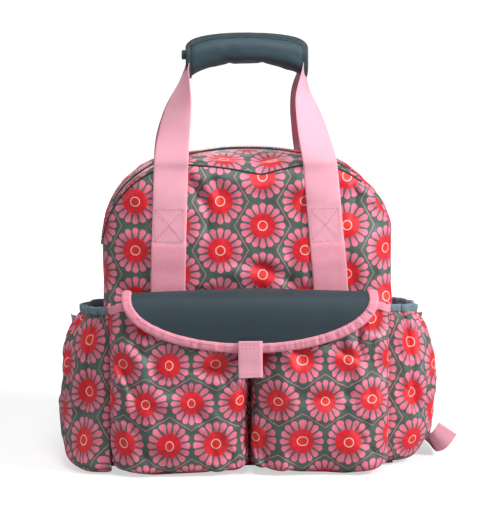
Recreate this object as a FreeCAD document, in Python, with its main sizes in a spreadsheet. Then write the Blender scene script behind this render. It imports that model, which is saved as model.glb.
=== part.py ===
"""Diaper bag: a dome-topped backpack with tote handles, a flapped front pocket and two bottle pockets.

Frame: origin on the ground at the centre of the base, +Z up, front towards -Y, right-hand pocket at +X.
All sizes are millimetres and live in the Dimensions sheet.
"""
import FreeCAD, Part
import math
import os
import re

import Sketcher
from FreeCAD import Placement, Rotation, Vector

# name: (value, what it measures)
DIMENSIONS = {
    "BodyWidth": (330, "main body, side to side"),
    "BodyDepth": (140, "main body, front panel to back panel"),
    "BodyHeight": (355, "ground to the crest of the dome"),
    "CrownRadius": (322, "large arc over the top"),
    "ShoulderRadius": (100, "arcs at the two shoulders"),
    "PanelThick": (3, "face fabric with its foam and lining"),
    "Seam": (0.4, "gap left for a sewn seam between two pieces"),
    "Clear": (0.1, "gap between two fabrics that lie on each other"),
    "BackPadThick": (6, "foam pad behind the back panel"),
    "BackPadInset": (12, "edge of the foam pad inside the body outline"),
    "BoardThick": (2, "stiffener board in the base"),
    "BoardInset": (7, "edge of the board inside the base"),
    "LiningThick": (0.8, "loose lining of the main compartment"),
    "LiningGap": (8, "lining to the body walls"),
    "ZipTapeThick": (0.8, "zip tape"),
    "ZipSlot": (26, "distance between the two top gusset strips"),
    "TeethWide": (2, "one row of coil teeth"),
    "TeethThick": (2.2, "one row of coil teeth"),
    "TeethGap": (2, "clear way for the slider post"),
    "StopTall": (3, "metal stop at each end of the zip"),
    "StopThick": (1, "metal stop at each end of the zip"),
    "SliderLong": (10, "zip slider, along the zip"),
    "SliderWide": (9, "zip slider, across the zip"),
    "SliderPlate": (1.2, "slider plate thickness"),
    "SliderPlay": (0.4, "running clearance of the slider"),
    "CrownSliderTurn": (15, "place of the crown slider on its arc, degrees from the top"),
    "ShoulderSliderTurn": (-24, "place of the left shoulder slider on its arc, degrees from the top"),
    "BridgeLong": (7, "slider bridge, along the zip"),
    "BridgeWide": (2, "slider bridge, across the zip"),
    "BridgeTall": (3.4, "slider bridge, above the upper plate"),
    "BridgeWall": (0.9, "slider bridge thickness"),
    "PinHigh": (1.2, "centre of the puller pin above the upper plate"),
    "PinRadius": (0.8, "puller pin"),
    "PullerLong": (26, "zip puller"),
    "PullerWide": (7, "zip puller"),
    "PullerThick": (1.6, "zip puller"),
    "PullerEye": (7, "length of the puller's two arms"),
    "PullerArm": (1.7, "width of one arm of the puller"),
    "HandleWebWide": (38, "tote handle webbing"),
    "HandleWebThick": (1.6, "tote handle webbing"),
    "HandleWebX": (90, "centre of the sewn handle webbing from the middle"),
    "HandleWebFoot": (6, "lower end of the sewn length on a panel"),
    "HandleWebTop": (334, "top of the sewn length on a panel"),
    "HandleLean": (4, "how far the free length leans in at its foot"),
    "HandleRootZ": (376, "lowest rigid point of the free handle length"),
    "HandleRootY": (52, "the same point from the middle, front and rear"),
    "HandleNest": (2.2, "half the distance between the two webbings in the grip"),
    "GripRadius": (140, "arc the grip is bent to"),
    "GripTopZ": (482, "ground to the top of the grip"),
    "GripHalfAngle": (27, "half the arc the grip covers, degrees"),
    "GripDeep": (52, "grip section, front to rear"),
    "GripTall": (30, "grip section, height"),
    "GripWall": (3, "padding layer of the grip"),
    "CoverHalfAngle": (24, "half the arc of the closing cover, degrees"),
    "CoverWall": (2.4, "closing cover of the grip"),
    "CoverRear": (6, "hinge edge of the cover, behind the middle of the grip"),
    "CoverDrop": (4, "top edge of the cover under the top of the grip"),
    "PocketWidth": (308, "front pocket, side to side"),
    "PocketDepth": (40, "front pocket, from the front panel"),
    "PocketTop": (186, "front pocket mouth"),
    "PocketWall": (2, "pocket fabric with lining"),
    "PocketCorner": (24, "rounding of a front pocket bellows"),
    "BindingWide": (9, "bias binding of the flap"),
    "MouthBindingTall": (4, "binding of the front pocket mouth"),
    "MouthBindingLap": (0.5, "how far the mouth binding stands out each side of the fabric"),
    "FlapWidth": (280, "pocket flap with its binding"),
    "FlapWaistZ": (199, "height below which the flap's outline is half an ellipse"),
    "FlapRootZ": (203, "sewn edge of the flap"),
    "FlapRootY": (76, "sewn edge of the flap, in front of the middle"),
    "FlapShoulderZ": (193, "bend of the flap over the pocket mouth"),
    "FlapShoulderY": (115, "bend of the flap, in front of the middle"),
    "FlapTipZ": (140, "lower edge of the flap"),
    "FlapTipY": (119, "lower edge of the flap, in front of the middle"),
    "FlapThick": (2.6, "two fabric layers of the flap"),
    "TabWide": (25, "pull tab webbing"),
    "TabTop": (152, "upper end of the pull tab"),
    "TabTip": (114, "lower end of the pull tab"),
    "PatchWide": (70, "hook and loop patches"),
    "PatchTall": (22, "hook and loop patches"),
    "PatchThick": (1.2, "hook and loop patches"),
    "PatchZ": (144, "lower edge of the hook and loop patches"),
    "SidePocketDeep": (116, "bottle pocket, front to rear"),
    "SidePocketOut": (48, "bottle pocket, out from the gusset"),
    "SidePocketTop": (164, "bottle pocket, under its elastic"),
    "SidePocketCorner": (22, "rounding of a bottle pocket"),
    "ElasticTall": (9, "elastic band at the bottle pocket mouth"),
    "ElasticThick": (3, "elastic band with its folded edges"),
    "FoilThick": (1.2, "insulating foil lining of the bottle pocket"),
    "FoilDrop": (8, "top of the foil lining under the elastic"),
    "StrapWide": (60, "padded shoulder strap"),
    "StrapThick": (10, "padded shoulder strap"),
    "StrapRadius": (172, "bow of the padded strap"),
    "StrapHalfAngle": (37, "half the arc of the padded strap, degrees"),
    "StrapTopX": (52, "top anchor of a strap from the middle"),
    "StrapTopZ": (318, "top anchor of a strap"),
    "StrapStandoff": (5, "padded strap ends behind the back panel"),
    "StrapSplay": (20, "lean of a strap outwards, degrees"),
    "YokeWide": (172, "webbing bar that holds both straps"),
    "YokeTall": (28, "webbing bar that holds both straps"),
    "YokeThick": (2.4, "webbing bar that holds both straps"),
    "LadderWide": (34, "ladder-lock buckle"),
    "LadderTall": (26, "ladder-lock buckle"),
    "LadderThick": (4, "ladder-lock buckle"),
    "LadderBar": (4, "bars of the ladder-lock"),
    "LadderDrop": (22, "end of the padded strap to the middle of the buckle"),
    "StrapWebWide": (25, "adjuster webbing of a strap"),
    "StrapWebThick": (1.4, "adjuster webbing of a strap"),
    "AnchorX": (142, "lower strap anchor from the middle"),
    "AnchorZ": (20, "lower strap anchor"),
    "AnchorWide": (36, "lower strap anchor"),
    "AnchorTall": (24, "lower strap anchor"),
    "AnchorThick": (1.4, "lower strap anchor"),
    "TailStart": (54, "height at which the right tail leaves the strap's line"),
    "TailTurnX": (190, "right tail behind the bottle pocket, from the middle"),
    "TailTurnY": (84, "right tail behind the bottle pocket"),
    "TailBendX": (228, "right tail beside the bottle pocket, from the middle"),
    "TailBendY": (42, "right tail beside the bottle pocket"),
    "TailLow": (17, "middle of the right tail where it lies lowest"),
    "TailTipX": (238, "tip of the right tail, from the middle"),
    "TailTipZ": (25, "tip of the right tail"),
    "LeftTailX": (124, "tip of the left tail, from the middle"),
    "LeftTailY": (101, "tip of the left tail, behind the middle"),
    "LeftTailZ": (22, "tip of the left tail"),
}

doc = FreeCAD.newDocument("DiaperBag")
sheet = doc.addObject("Spreadsheet::Sheet", "Dimensions")
for row, (name, (value, meaning)) in enumerate(DIMENSIONS.items(), start=1):
    sheet.set(f"A{row}", name)
    sheet.set(f"B{row}", str(value))
    sheet.set(f"C{row}", meaning)
    sheet.setAlias(f"B{row}", name)
doc.recompute()

# Heights and offsets that several pieces share, written as sheet formulas.
CROWN_Z = "(BodyHeight - CrownRadius)"
SHOULDER_X = "(BodyWidth / 2 - ShoulderRadius)"
SHOULDER_Z = f"({CROWN_Z} + sqrt((CrownRadius - ShoulderRadius)^2 - {SHOULDER_X}^2))"
INSIDE_Y = "(BodyDepth / 2 - PanelThick - Seam)"
GRIP_AXIS_Z = "(GripTopZ - GripRadius - GripTall / 2)"
WEBBING_Y = "(BodyDepth / 2 + Clear + HandleWebThick)"
STRAP_Y = "(BodyDepth / 2 + StrapStandoff)"

AXIS_X = Vector(1, 0, 0)
AXIS_Y = Vector(0, 1, 0)
AXIS_Z = Vector(0, 0, 1)
SIDES = {"left": -1, "right": 1}
ALIAS = re.compile("|".join(rf"\b{name}\b" for name in DIMENSIONS))
parts = []


def formula(text):
    """The sheet formula with each alias written the way an expression needs it."""
    return ALIAS.sub(lambda found: "Dimensions." + found.group(0), str(text))


def size(text):
    """The value of a formula of the sheet's cells."""
    return float(sheet.evalExpression(formula(text)))


# ---- building blocks -------------------------------------------------------------------------


def keep(obj, label):
    """Marks an object as a sub-part and gives it the name of its file."""
    obj.Label = label
    parts.append(obj)
    return obj


def bind(obj, **formulas):
    """Ties properties of an object to formulas of the sheet; X, Y, Z and Turn are its placement."""
    paths = {"X": "Placement.Base.x", "Y": "Placement.Base.y", "Z": "Placement.Base.z"}
    paths["Turn"] = "Placement.Rotation.Angle"
    for name, text in formulas.items():
        obj.setExpression(paths.get(name, name), formula(text))
    return obj


def span(side, near, far):
    """(low, high) pair of formulas between two distances out from the middle, on one side of it."""
    ends = (f"{side} * ({near})", f"{side} * ({far})")
    return ends if side > 0 else ends[::-1]


def centred(width):
    return (f"-({width}) / 2", f"({width}) / 2")


def box(x, y, z):
    """Part::Box between three (low, high) pairs of formulas."""
    solid = doc.addObject("Part::Box", "Box")
    bind(solid, Length=f"({x[1]}) - ({x[0]})", Width=f"({y[1]}) - ({y[0]})", Height=f"({z[1]}) - ({z[0]})")
    return bind(solid, X=x[0], Y=y[0], Z=z[0])


def fused(solids):
    joined = doc.addObject("Part::MultiFuse", "Fused")
    joined.Shapes = solids
    return joined


def combined(kind, base, tool):
    """Part::Cut or Part::Common of two solids."""
    result = doc.addObject(kind, "Combined")
    result.Base = base
    result.Tool = tool
    return result


def new_sketch(body, role, offset="0"):
    """Sketch on one of the body's origin planes, moved along the plane's normal."""
    sketch = body.newObject("Sketcher::SketchObject", "Sketch")
    plane = [feature for feature in body.Origin.OriginFeatures if feature.Role == role][0]
    sketch.AttachmentSupport = [(plane, "")]
    sketch.MapMode = "FlatFace"
    sketch.setExpression("AttachmentOffset.Base.z", formula(offset))
    return sketch


def hold(sketch, kind, *geometry, by):
    """Adds a dimension to a sketch and ties it to a formula."""
    index = sketch.addConstraint(Sketcher.Constraint(kind, *geometry, size(by)))
    sketch.setExpression(f"Constraints[{index}]", formula(by))


def polygon(sketch, corners):
    """Closed outline through corners, each an (across, up) pair of formulas measured from the origin."""
    first = sketch.GeometryCount
    points = [Vector(size(across), size(up)) for across, up in corners]
    count = len(points)
    for i in range(count):
        sketch.addGeometry(Part.LineSegment(points[i], points[(i + 1) % count]))
    for i, (across, up) in enumerate(corners):
        sketch.addConstraint(Sketcher.Constraint("Coincident", first + i, 2, first + (i + 1) % count, 1))
        hold(sketch, "DistanceX", -1, 1, first + i, 1, by=across)
        hold(sketch, "DistanceY", -1, 1, first + i, 1, by=up)


def rectangle(sketch, across, up):
    """Closed rectangle between two (low, high) pairs of formulas."""
    (left, right), (low, high) = across, up
    polygon(sketch, [(left, low), (right, low), (right, high), (left, high)])


def dome_arcs(sketch, grow):
    """Right shoulder, crown and left shoulder arcs of the body outline, moved outwards by grow."""
    side_x, side_z, crown_z = size(SHOULDER_X), size(SHOULDER_Z), size(CROWN_Z)
    lean = math.asin(side_x / size("CrownRadius - ShoulderRadius"))
    upright = math.pi / 2
    bends = [(side_x, side_z, "ShoulderRadius", 0, upright - lean)]
    bends.append((0, crown_z, "CrownRadius", upright - lean, upright + lean))
    bends.append((-side_x, side_z, "ShoulderRadius", upright + lean, math.pi))
    first = sketch.GeometryCount
    for x, z, radius, start, end in bends:
        circle = Part.Circle(Vector(x, z), AXIS_Z, size(f"{radius} + ({grow})"))
        index = sketch.addGeometry(Part.ArcOfCircle(circle, start, end))
        hold(sketch, "Radius", index, by=f"{radius} + ({grow})")
    for i in range(2):
        sketch.addConstraint(Sketcher.Constraint("Tangent", first + i, 2, first + i + 1, 1))
    sketch.addConstraint(Sketcher.Constraint("PointOnObject", first + 1, 3, -2))
    hold(sketch, "DistanceY", -1, 1, first + 1, 3, by=CROWN_Z)
    for side, arc, end in ((1, first, 1), (-1, first + 2, 2)):
        hold(sketch, "DistanceX", -1, 1, arc, end, by=f"{side} * (BodyWidth / 2 + ({grow}))")
        sketch.addConstraint(Sketcher.Constraint("Horizontal", arc, 3, arc, end))
    return first


def dome_outline(sketch, grow, foot):
    """The dome arcs closed by two upright sides and a level foot."""
    first = dome_arcs(sketch, grow)
    half, side_z, foot_z = size(f"BodyWidth / 2 + ({grow})"), size(SHOULDER_Z), size(foot)
    corners = [Vector(-half, side_z), Vector(-half, foot_z), Vector(half, foot_z), Vector(half, side_z)]
    for start, end in zip(corners, corners[1:]):
        sketch.addGeometry(Part.LineSegment(start, end))
    for i in range(2, 5):
        sketch.addConstraint(Sketcher.Constraint("Coincident", first + i, 2, first + i + 1, 1))
    sketch.addConstraint(Sketcher.Constraint("Coincident", first + 5, 2, first, 1))
    for line, way in ((3, "Vertical"), (4, "Horizontal"), (5, "Vertical")):
        sketch.addConstraint(Sketcher.Constraint(way, first + line))
    hold(sketch, "DistanceY", -1, 1, first + 4, 1, by=foot)


def finish(body, feature):
    """Makes a feature the body's last one and works it out."""
    body.Tip = feature
    doc.recompute()
    return feature


def pad(body, sketch, length, both_ways=False):
    feature = body.newObject("PartDesign::Pad", "Pad")
    feature.Profile = sketch
    if both_ways:
        feature.SideType = "Symmetric"
    feature.setExpression("Length", formula(length))
    return finish(body, feature)


def pocket(body, sketch, length):
    """Cuts a sketch into the body against its normal, and checks that something came off."""
    before = body.Shape.Volume
    feature = body.newObject("PartDesign::Pocket", "Pocket")
    feature.Profile = sketch
    feature.setExpression("Length", formula(length))
    finish(body, feature)
    if feature.Shape.Volume > 0.999 * before:
        raise RuntimeError(f"{body.Name}: the pocket cut nothing")
    return feature


def revolve(body, sketch, angle):
    """Turns a sketch about its own level axis, half of the angle each way."""
    feature = body.newObject("PartDesign::Revolution", "Revolution")
    feature.Profile = sketch
    feature.ReferenceAxis = (sketch, ["H_Axis"])
    feature.Midplane = True
    feature.setExpression("Angle", formula(angle))
    return finish(body, feature)


def round_edges(body, feature, radius, along, test):
    """Rounds the straight edges that run along an axis and whose middle passes a test."""
    names = []
    for number, edge in enumerate(feature.Shape.Edges, start=1):
        parallel = abs(edge.tangentAt(edge.FirstParameter).dot(along)) > 0.99
        if parallel and test(edge.CenterOfMass):
            names.append(f"Edge{number}")
    fillet = body.newObject("PartDesign::Fillet", "Fillet")
    fillet.Base = (feature, names)
    fillet.setExpression("Radius", formula(radius))
    return finish(body, fillet)


def hollow(body, feature, wall, test):
    """Leaves a wall inside the solid and opens the faces whose middle passes a test."""
    faces = [f"Face{i}" for i, face in enumerate(feature.Shape.Faces, start=1) if test(face.CenterOfMass)]
    shell = body.newObject("PartDesign::Thickness", "Thickness")
    shell.Base = (feature, faces)
    shell.Reversed = True
    shell.setExpression("Value", formula(wall))
    return finish(body, shell)


def section(centre, across, through, width, thickness):
    """Rectangular wire of a strip of webbing; through is made square to across."""
    across = Vector(across).normalize()
    through = (through - across * through.dot(across)).normalize()
    side, up = across * (width / 2), through * (thickness / 2)
    corners = [centre - side - up, centre + side - up, centre + side + up, centre - side + up]
    return Part.makePolygon(corners + corners[:1])


def strip(sections):
    """Smooth solid strip through rectangular sections."""
    return Part.makeLoft(sections, True, False)


def placed_shape(shape, label):
    """Sub-part made of a shape that has no feature of its own."""
    feature = doc.addObject("Part::Feature", label)
    feature.Shape = shape
    feature.Placement = Placement()
    return keep(feature, label)


# ---- main body -------------------------------------------------------------------------------


def dome_panel(label, grow, start, thickness, foot="0"):
    """Flat panel with the dome outline; start is how far its rear face is in front of the middle."""
    body = doc.addObject("PartDesign::Body", label)
    sketch = new_sketch(body, "XZ_Plane", start)
    dome_outline(sketch, grow, foot)
    pad(body, sketch, thickness)
    return keep(body, label)


def arch_strip(label, across, inset, thickness):
    """Strip that follows the dome from one shoulder to the other, inset below the outline."""
    body = doc.addObject("PartDesign::Body", label)
    path = new_sketch(body, "XZ_Plane")
    dome_arcs(path, f"-({inset})")
    profile = new_sketch(body, "XY_Plane", SHOULDER_Z)
    outer = f"BodyWidth / 2 - ({inset})"
    rectangle(profile, (f"{outer} - ({thickness})", outer), across)
    pipe = body.newObject("PartDesign::AdditivePipe", "Pipe")
    pipe.Profile = profile
    pipe.Spine = path
    pipe.Mode = "Frenet"
    pipe.Transition = "Transformed"
    finish(body, pipe)
    return keep(body, label)


def build_panels():
    dome_panel("front_panel", "0", "BodyDepth / 2 - PanelThick", "PanelThick")
    dome_panel("back_panel", "0", "-BodyDepth / 2", "PanelThick")
    dome_panel("back_foam_pad", "-BackPadInset", f"-{INSIDE_Y}", "BackPadThick", foot="PanelThick + Seam")
    within = (f"-{INSIDE_Y}", INSIDE_Y)
    keep(box(centred("BodyWidth"), within, ("0", "PanelThick")), "base_panel")
    upright = ("PanelThick + Seam", f"{SHOULDER_Z} - Seam")
    for name, side in SIDES.items():
        wall = span(side, "BodyWidth / 2 - PanelThick", "BodyWidth / 2")
        keep(box(wall, within, upright), f"side_gusset_{name}")
    arch_strip("top_gusset_front", (f"-{INSIDE_Y}", "-ZipSlot / 2"), "0", "PanelThick")
    arch_strip("top_gusset_rear", ("ZipSlot / 2", INSIDE_Y), "0", "PanelThick")


def build_base_board():
    x = centred("BodyWidth - 2 * BoardInset")
    y = centred("BodyDepth - 2 * BoardInset - 2 * BackPadThick")
    keep(box(x, y, ("PanelThick + Seam", "PanelThick + Seam + BoardThick")), "base_board")


def build_lining():
    """Loose bag of lining fabric, open along the zip."""
    body = doc.addObject("PartDesign::Body", "main_lining")
    reach = "(BodyDepth / 2 - PanelThick - LiningGap)"
    outside = new_sketch(body, "XZ_Plane", f"-{reach}")
    dome_outline(outside, "-LiningGap", "LiningGap")
    pad(body, outside, f"2 * {reach}")
    inside = new_sketch(body, "XZ_Plane", f"{reach} - LiningThick")
    dome_outline(inside, "-(LiningGap + LiningThick)", "LiningGap + LiningThick")
    pocket(body, inside, f"2 * ({reach} - LiningThick)")
    mouth = new_sketch(body, "XY_Plane", "BodyHeight")
    rectangle(mouth, (f"-{SHOULDER_X}", SHOULDER_X), centred("ZipSlot"))
    pocket(body, mouth, "3 * LiningGap")
    keep(body, "main_lining")


# ---- zip -------------------------------------------------------------------------------------

ZIP_INSET = "(PanelThick / 2)"
TEETH_EDGE = "(TeethGap / 2 + TeethWide)"
PLATE_INNER = "(TeethThick / 2 + SliderPlay)"
PLATE_OUTER = f"({PLATE_INNER} + SliderPlate)"


def build_zip_tapes():
    tape_in = f"{ZIP_INSET} - ZipTapeThick / 2"
    teeth_in = f"{ZIP_INSET} - TeethThick / 2"
    for name, side in (("front", -1), ("rear", 1)):
        arch_strip(f"zip_tape_{name}", span(side, TEETH_EDGE, "ZipSlot / 2 - Seam"), tape_in, "ZipTapeThick")
        arch_strip(f"zip_teeth_{name}", span(side, "TeethGap / 2", TEETH_EDGE), teeth_in, "TeethThick")


def build_zip_stops():
    """Metal stops over both rows of teeth at the two ends of the zip."""
    face = f"BodyWidth / 2 - {ZIP_INSET} + TeethThick / 2 + Clear"
    across = centred(f"2 * {TEETH_EDGE}")
    up = (SHOULDER_Z, f"{SHOULDER_Z} + StopTall")
    stops = doc.addObject("Part::Compound", "zip_end_stops")
    stops.Links = [box(span(side, face, f"{face} + StopThick"), across, up) for side in SIDES.values()]
    keep(stops, "zip_end_stops")


def slider_body(middle):
    """Two plates joined by a post between the teeth rows, with side lips and a bridge on top."""
    long, wide = centred("SliderLong"), centred("SliderWide")
    solids = [box(long, wide, (f"{middle} + {PLATE_INNER}", f"{middle} + {PLATE_OUTER}"))]
    solids.append(box(long, wide, (f"{middle} - {PLATE_OUTER}", f"{middle} - {PLATE_INNER}")))
    post = centred("TeethGap - 2 * SliderPlay")
    both_plates = (f"{middle} - {PLATE_OUTER}", f"{middle} + {PLATE_OUTER}")
    solids.append(box(centred("SliderLong / 2"), post, both_plates))
    tape = "(ZipTapeThick / 2 + SliderPlay)"
    plate, top = f"{middle} + {PLATE_OUTER}", f"{middle} + {PLATE_OUTER} + BridgeTall"
    for side in (-1, 1):
        lip = span(side, f"{TEETH_EDGE} + SliderPlay", "SliderWide / 2")
        solids.append(box(long, lip, (f"{middle} + {tape}", f"{middle} + {PLATE_OUTER}")))
        solids.append(box(long, lip, (f"{middle} - {PLATE_OUTER}", f"{middle} - {tape}")))
        foot = span(side, "BridgeLong / 2 - BridgeWall", "BridgeLong / 2")
        solids.append(box(foot, centred("BridgeWide"), (f"{plate} - SliderPlate / 2", top)))
    solids.append(box(centred("BridgeLong"), centred("BridgeWide"), (f"{top} - BridgeWall", top)))
    return fused(solids)


def puller_body(middle, side):
    """Pin under the bridge, two arms beside it and the flat grip they lead to."""
    pin_z = f"{middle} + {PLATE_OUTER} + PinHigh"
    pin = doc.addObject("Part::Cylinder", "PullerPin")
    pin.Placement.Rotation = Rotation(AXIS_X, 90)
    bind(pin, Radius="PinRadius", Height="PullerWide", Y="PullerWide / 2", Z=pin_z)
    flat = (f"{pin_z} - PullerThick / 2", f"{pin_z} + PullerThick / 2")
    solids = [pin]
    for arm_side in (-1, 1):
        arm = span(arm_side, "PullerWide / 2 - PullerArm", "PullerWide / 2")
        solids.append(box(span(side, "0", "PullerEye"), arm, flat))
    solids.append(box(span(side, "PullerEye - PullerArm", "PullerLong"), centred("PullerWide"), flat))
    return fused(solids)


def build_zip_slider(name, centre_x, centre_z, radius, turn, side):
    """Slider and puller at the top of an arc, then turned along it; side is where the puller points."""
    middle = f"({radius} - {ZIP_INSET})"
    for label, solid in (("slider", slider_body(middle)), ("puller", puller_body(middle, side))):
        solid.Placement.Rotation = Rotation(AXIS_Y, size(turn))
        bind(solid, X=centre_x, Z=centre_z, Turn=turn)
        keep(solid, f"zip_{label}_{name}")


# ---- front pocket ----------------------------------------------------------------------------


def cup(label, across, deep, up, wall, corner, rounded, opened):
    """Box-shaped fabric cup; rounded picks its upright corners and opened picks its open faces."""
    body = doc.addObject("PartDesign::Body", label)
    plan = new_sketch(body, "XY_Plane", up[0])
    rectangle(plan, across, deep)
    block = pad(body, plan, f"({up[1]}) - ({up[0]})")
    block = round_edges(body, block, corner, AXIS_Z, rounded)
    hollow(body, block, wall, opened)
    return keep(body, label)


def build_front_pocket():
    """Two bellows side by side, sewn to the front panel by their open backs."""
    rear, front = "-(BodyDepth / 2 + Seam)", "-(BodyDepth / 2 + PocketDepth)"
    up = ("PanelThick", "PocketTop")

    def at_front(point):
        return point.y < size(front) + 1

    def open_face(point):
        return point.z > size("PocketTop") - 1 or point.y > size(rear) - 1

    for name, side in SIDES.items():
        across = span(side, "Seam / 2", "PocketWidth / 2")
        cup(f"pocket_bellows_{name}", across, (front, rear), up,
            "PocketWall", "PocketCorner", at_front, open_face)


def build_pocket_trim():
    """Bound edge of the pocket mouth, and the loop patch the flap closes on."""
    front = "-(BodyDepth / 2 + PocketDepth)"
    mouth = (f"{front} - MouthBindingLap", f"{front} + PocketWall + MouthBindingLap")
    up = ("PocketTop + Clear", "PocketTop + MouthBindingTall")
    keep(box(centred("PocketWidth - 2 * PocketCorner"), mouth, up), "pocket_mouth_binding")
    loop = (f"{front} - Clear - PatchThick", f"{front} - Clear")
    keep(box(centred("PatchWide"), loop, ("PatchZ", "PatchZ + PatchTall")), "loop_patch")


def flap_sheet():
    """The flap's fabric from the side: out from its root over the pocket mouth, then hanging."""
    body = doc.addObject("PartDesign::Body", "FlapSheet")
    side = new_sketch(body, "YZ_Plane")
    corners = [("-FlapRootY", "FlapRootZ"), ("-FlapRootY", "FlapRootZ + FlapThick")]
    corners.append(("-(FlapShoulderY + FlapThick)", "FlapShoulderZ + FlapThick"))
    corners.append(("-(FlapTipY + FlapThick)", "FlapTipZ"))
    corners += [("-FlapTipY", "FlapTipZ"), ("-FlapShoulderY", "FlapShoulderZ")]
    polygon(side, corners)
    pad(body, side, "FlapWidth", both_ways=True)
    return body


def flap_outline(inset):
    """Block with the flap's outline from the front: square at the root and half an ellipse below."""
    ellipse = doc.addObject("Part::Ellipse", "FlapEllipse")
    ellipse.Placement.Rotation = Rotation(AXIS_X, 90)
    reach = f"FlapWidth / 2 - ({inset})"
    bind(ellipse, MajorRadius=reach, MinorRadius=f"FlapWaistZ - FlapTipZ - ({inset})", Z="FlapWaistZ")
    lower = doc.addObject("Part::Extrusion", "FlapLower")
    lower.Base = ellipse
    lower.DirMode = "Custom"
    lower.Dir = -AXIS_Y
    lower.Solid = True
    bind(lower, LengthFwd="BodyDepth")
    across = (f"-({reach})", reach)
    upper = box(across, ("-BodyDepth", "0"), ("FlapWaistZ", "FlapRootZ + 2 * FlapThick"))
    return fused([lower, upper])


def build_flap():
    keep(combined("Part::Common", flap_sheet(), flap_outline("BindingWide")), "flap_panel")
    whole = combined("Part::Common", flap_sheet(), flap_outline("0"))
    keep(combined("Part::Cut", whole, flap_outline("BindingWide")), "flap_binding")
    front = "-(FlapTipY + FlapThick + Clear)"
    tab = (f"{front} - StrapWebThick", front)
    keep(box(centred("TabWide"), tab, ("TabTip", "TabTop")), "flap_pull_tab")
    inside = "-(FlapShoulderY + PatchThick)"
    hook = (f"{inside} - PatchThick / 2", f"{inside} + PatchThick / 2")
    keep(box(centred("PatchWide"), hook, ("PatchZ", "PatchZ + PatchTall")), "hook_patch")


# ---- bottle pockets --------------------------------------------------------------------------


def build_bottle_pocket(name, side):
    """Outer pocket, its foil lining and the elastic band round its mouth."""
    near, far = "BodyWidth / 2 + Seam", "BodyWidth / 2 + SidePocketOut"
    half = "SidePocketDeep / 2"
    lap = "(PocketWall + Seam)"

    def outboard(point):
        return side * point.x > size(far) - size("SidePocketOut") / 2

    def at_top(point):
        return point.z > size("SidePocketTop") - 2 * size("FoilDrop")

    def level(point):
        return abs(point.z - size("SidePocketTop + ElasticTall / 2")) > size("ElasticTall") / 4

    up = ("PanelThick", "SidePocketTop")
    corner = "SidePocketCorner"
    cup(f"side_pocket_{name}", span(side, near, far), centred("SidePocketDeep"), up,
        "PocketWall", corner, outboard, at_top)
    up = (f"PanelThick + {lap}", "SidePocketTop - FoilDrop")
    inner = span(side, f"{near} + {lap}", f"{far} - {lap}")
    cup(f"bottle_lining_{name}", inner, (f"-({half} - {lap})", f"{half} - {lap}"), up,
        "FoilThick", f"{corner} - {lap}", outboard, at_top)
    up = ("SidePocketTop + Clear", "SidePocketTop + ElasticTall")
    cup(f"side_elastic_{name}", span(side, near, far), centred("SidePocketDeep"), up,
        "ElasticThick", corner, outboard, level)


# ---- tote handles ----------------------------------------------------------------------------


def build_sewn_webbing():
    """Handle webbing where it is sewn flat down the front and back panels."""
    half = "HandleWebWide / 2"
    up = ("HandleWebFoot", "HandleWebTop")
    for face, way in (("front", -1), ("rear", 1)):
        depth = span(way, "BodyDepth / 2 + Clear", WEBBING_Y)
        for name, side in SIDES.items():
            across = span(side, f"HandleWebX - {half}", f"HandleWebX + {half}")
            keep(box(across, depth, up), f"{face}_webbing_{name}")


def handle_limb(side, way, top, out):
    """One limb of a handle loop, turned a quarter on its way from the grip down to its root."""
    wide, thick = size("HandleWebWide"), size("HandleWebThick")
    root = Vector(side * size("HandleWebX - HandleLean"), way * size("HandleRootY"), size("HandleRootZ"))
    sections = [section(top, AXIS_Y, out, wide, thick)]
    for share in (1 / 3, 2 / 3, 1):
        turn = math.radians(90 * share)
        across = Vector(side * math.sin(turn), math.cos(turn), 0)
        through = Vector(side * math.cos(turn), -math.sin(turn), 0)
        sections.append(section(top + (root - top) * share, across, through, wide, thick))
    return strip(sections)


def build_handle_loop(label, way, nest):
    """Free length of one handle: a run through the grip and a limb at each end of it."""
    radius = size(f"GripRadius + ({nest})")
    half = math.radians(size("GripHalfAngle") + 1)
    axis = Vector(0, 0, size(GRIP_AXIS_Z))
    start = section(axis + AXIS_Z * radius, AXIS_Y, AXIS_Z, size("HandleWebWide"), size("HandleWebThick"))
    start.rotate(axis, AXIS_Y, -math.degrees(half))
    shape = Part.Face(start).revolve(axis, AXIS_Y, math.degrees(2 * half))
    for side in SIDES.values():
        out = Vector(side * math.sin(half), 0, math.cos(half))
        shape = shape.fuse(handle_limb(side, way, axis + out * radius, out))
    placed_shape(shape.removeSplitter(), label)


def grip_sleeve(sketch):
    """Hollow rectangular section of the padded sleeve, inside the cover."""
    for inset in ("CoverWall + Seam", "CoverWall + Seam + GripWall"):
        up = (f"GripRadius - GripTall / 2 + {inset}", f"GripRadius + GripTall / 2 - ({inset})")
        rectangle(sketch, centred(f"GripDeep - 2 * ({inset})"), up)


def grip_wrap(sketch):
    """L-shaped section of the cover: under the grip and up its front face."""
    front, low = "-GripDeep / 2", "GripRadius - GripTall / 2"
    high = "GripRadius + GripTall / 2 - CoverDrop"
    corners = [("CoverRear", low), (front, low), (front, high), (f"{front} + CoverWall", high)]
    corners += [(f"{front} + CoverWall", f"{low} + CoverWall"), ("CoverRear", f"{low} + CoverWall")]
    polygon(sketch, corners)


def build_grip():
    """Padded sleeve round both handle loops, and the cover that closes over its front."""
    for label, profile, half_angle in (
        ("grip_pad", grip_sleeve, "GripHalfAngle"),
        ("grip_cover", grip_wrap, "CoverHalfAngle"),
    ):
        body = doc.addObject("PartDesign::Body", label)
        sketch = new_sketch(body, "YZ_Plane")
        profile(sketch)
        revolve(body, sketch, f"2 * {half_angle}")
        bind(body, Z=GRIP_AXIS_Z)
        keep(body, label)


# ---- shoulder straps -------------------------------------------------------------------------

STRAP_HALF = "(StrapRadius * sin(StrapHalfAngle * 1deg))"


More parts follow.
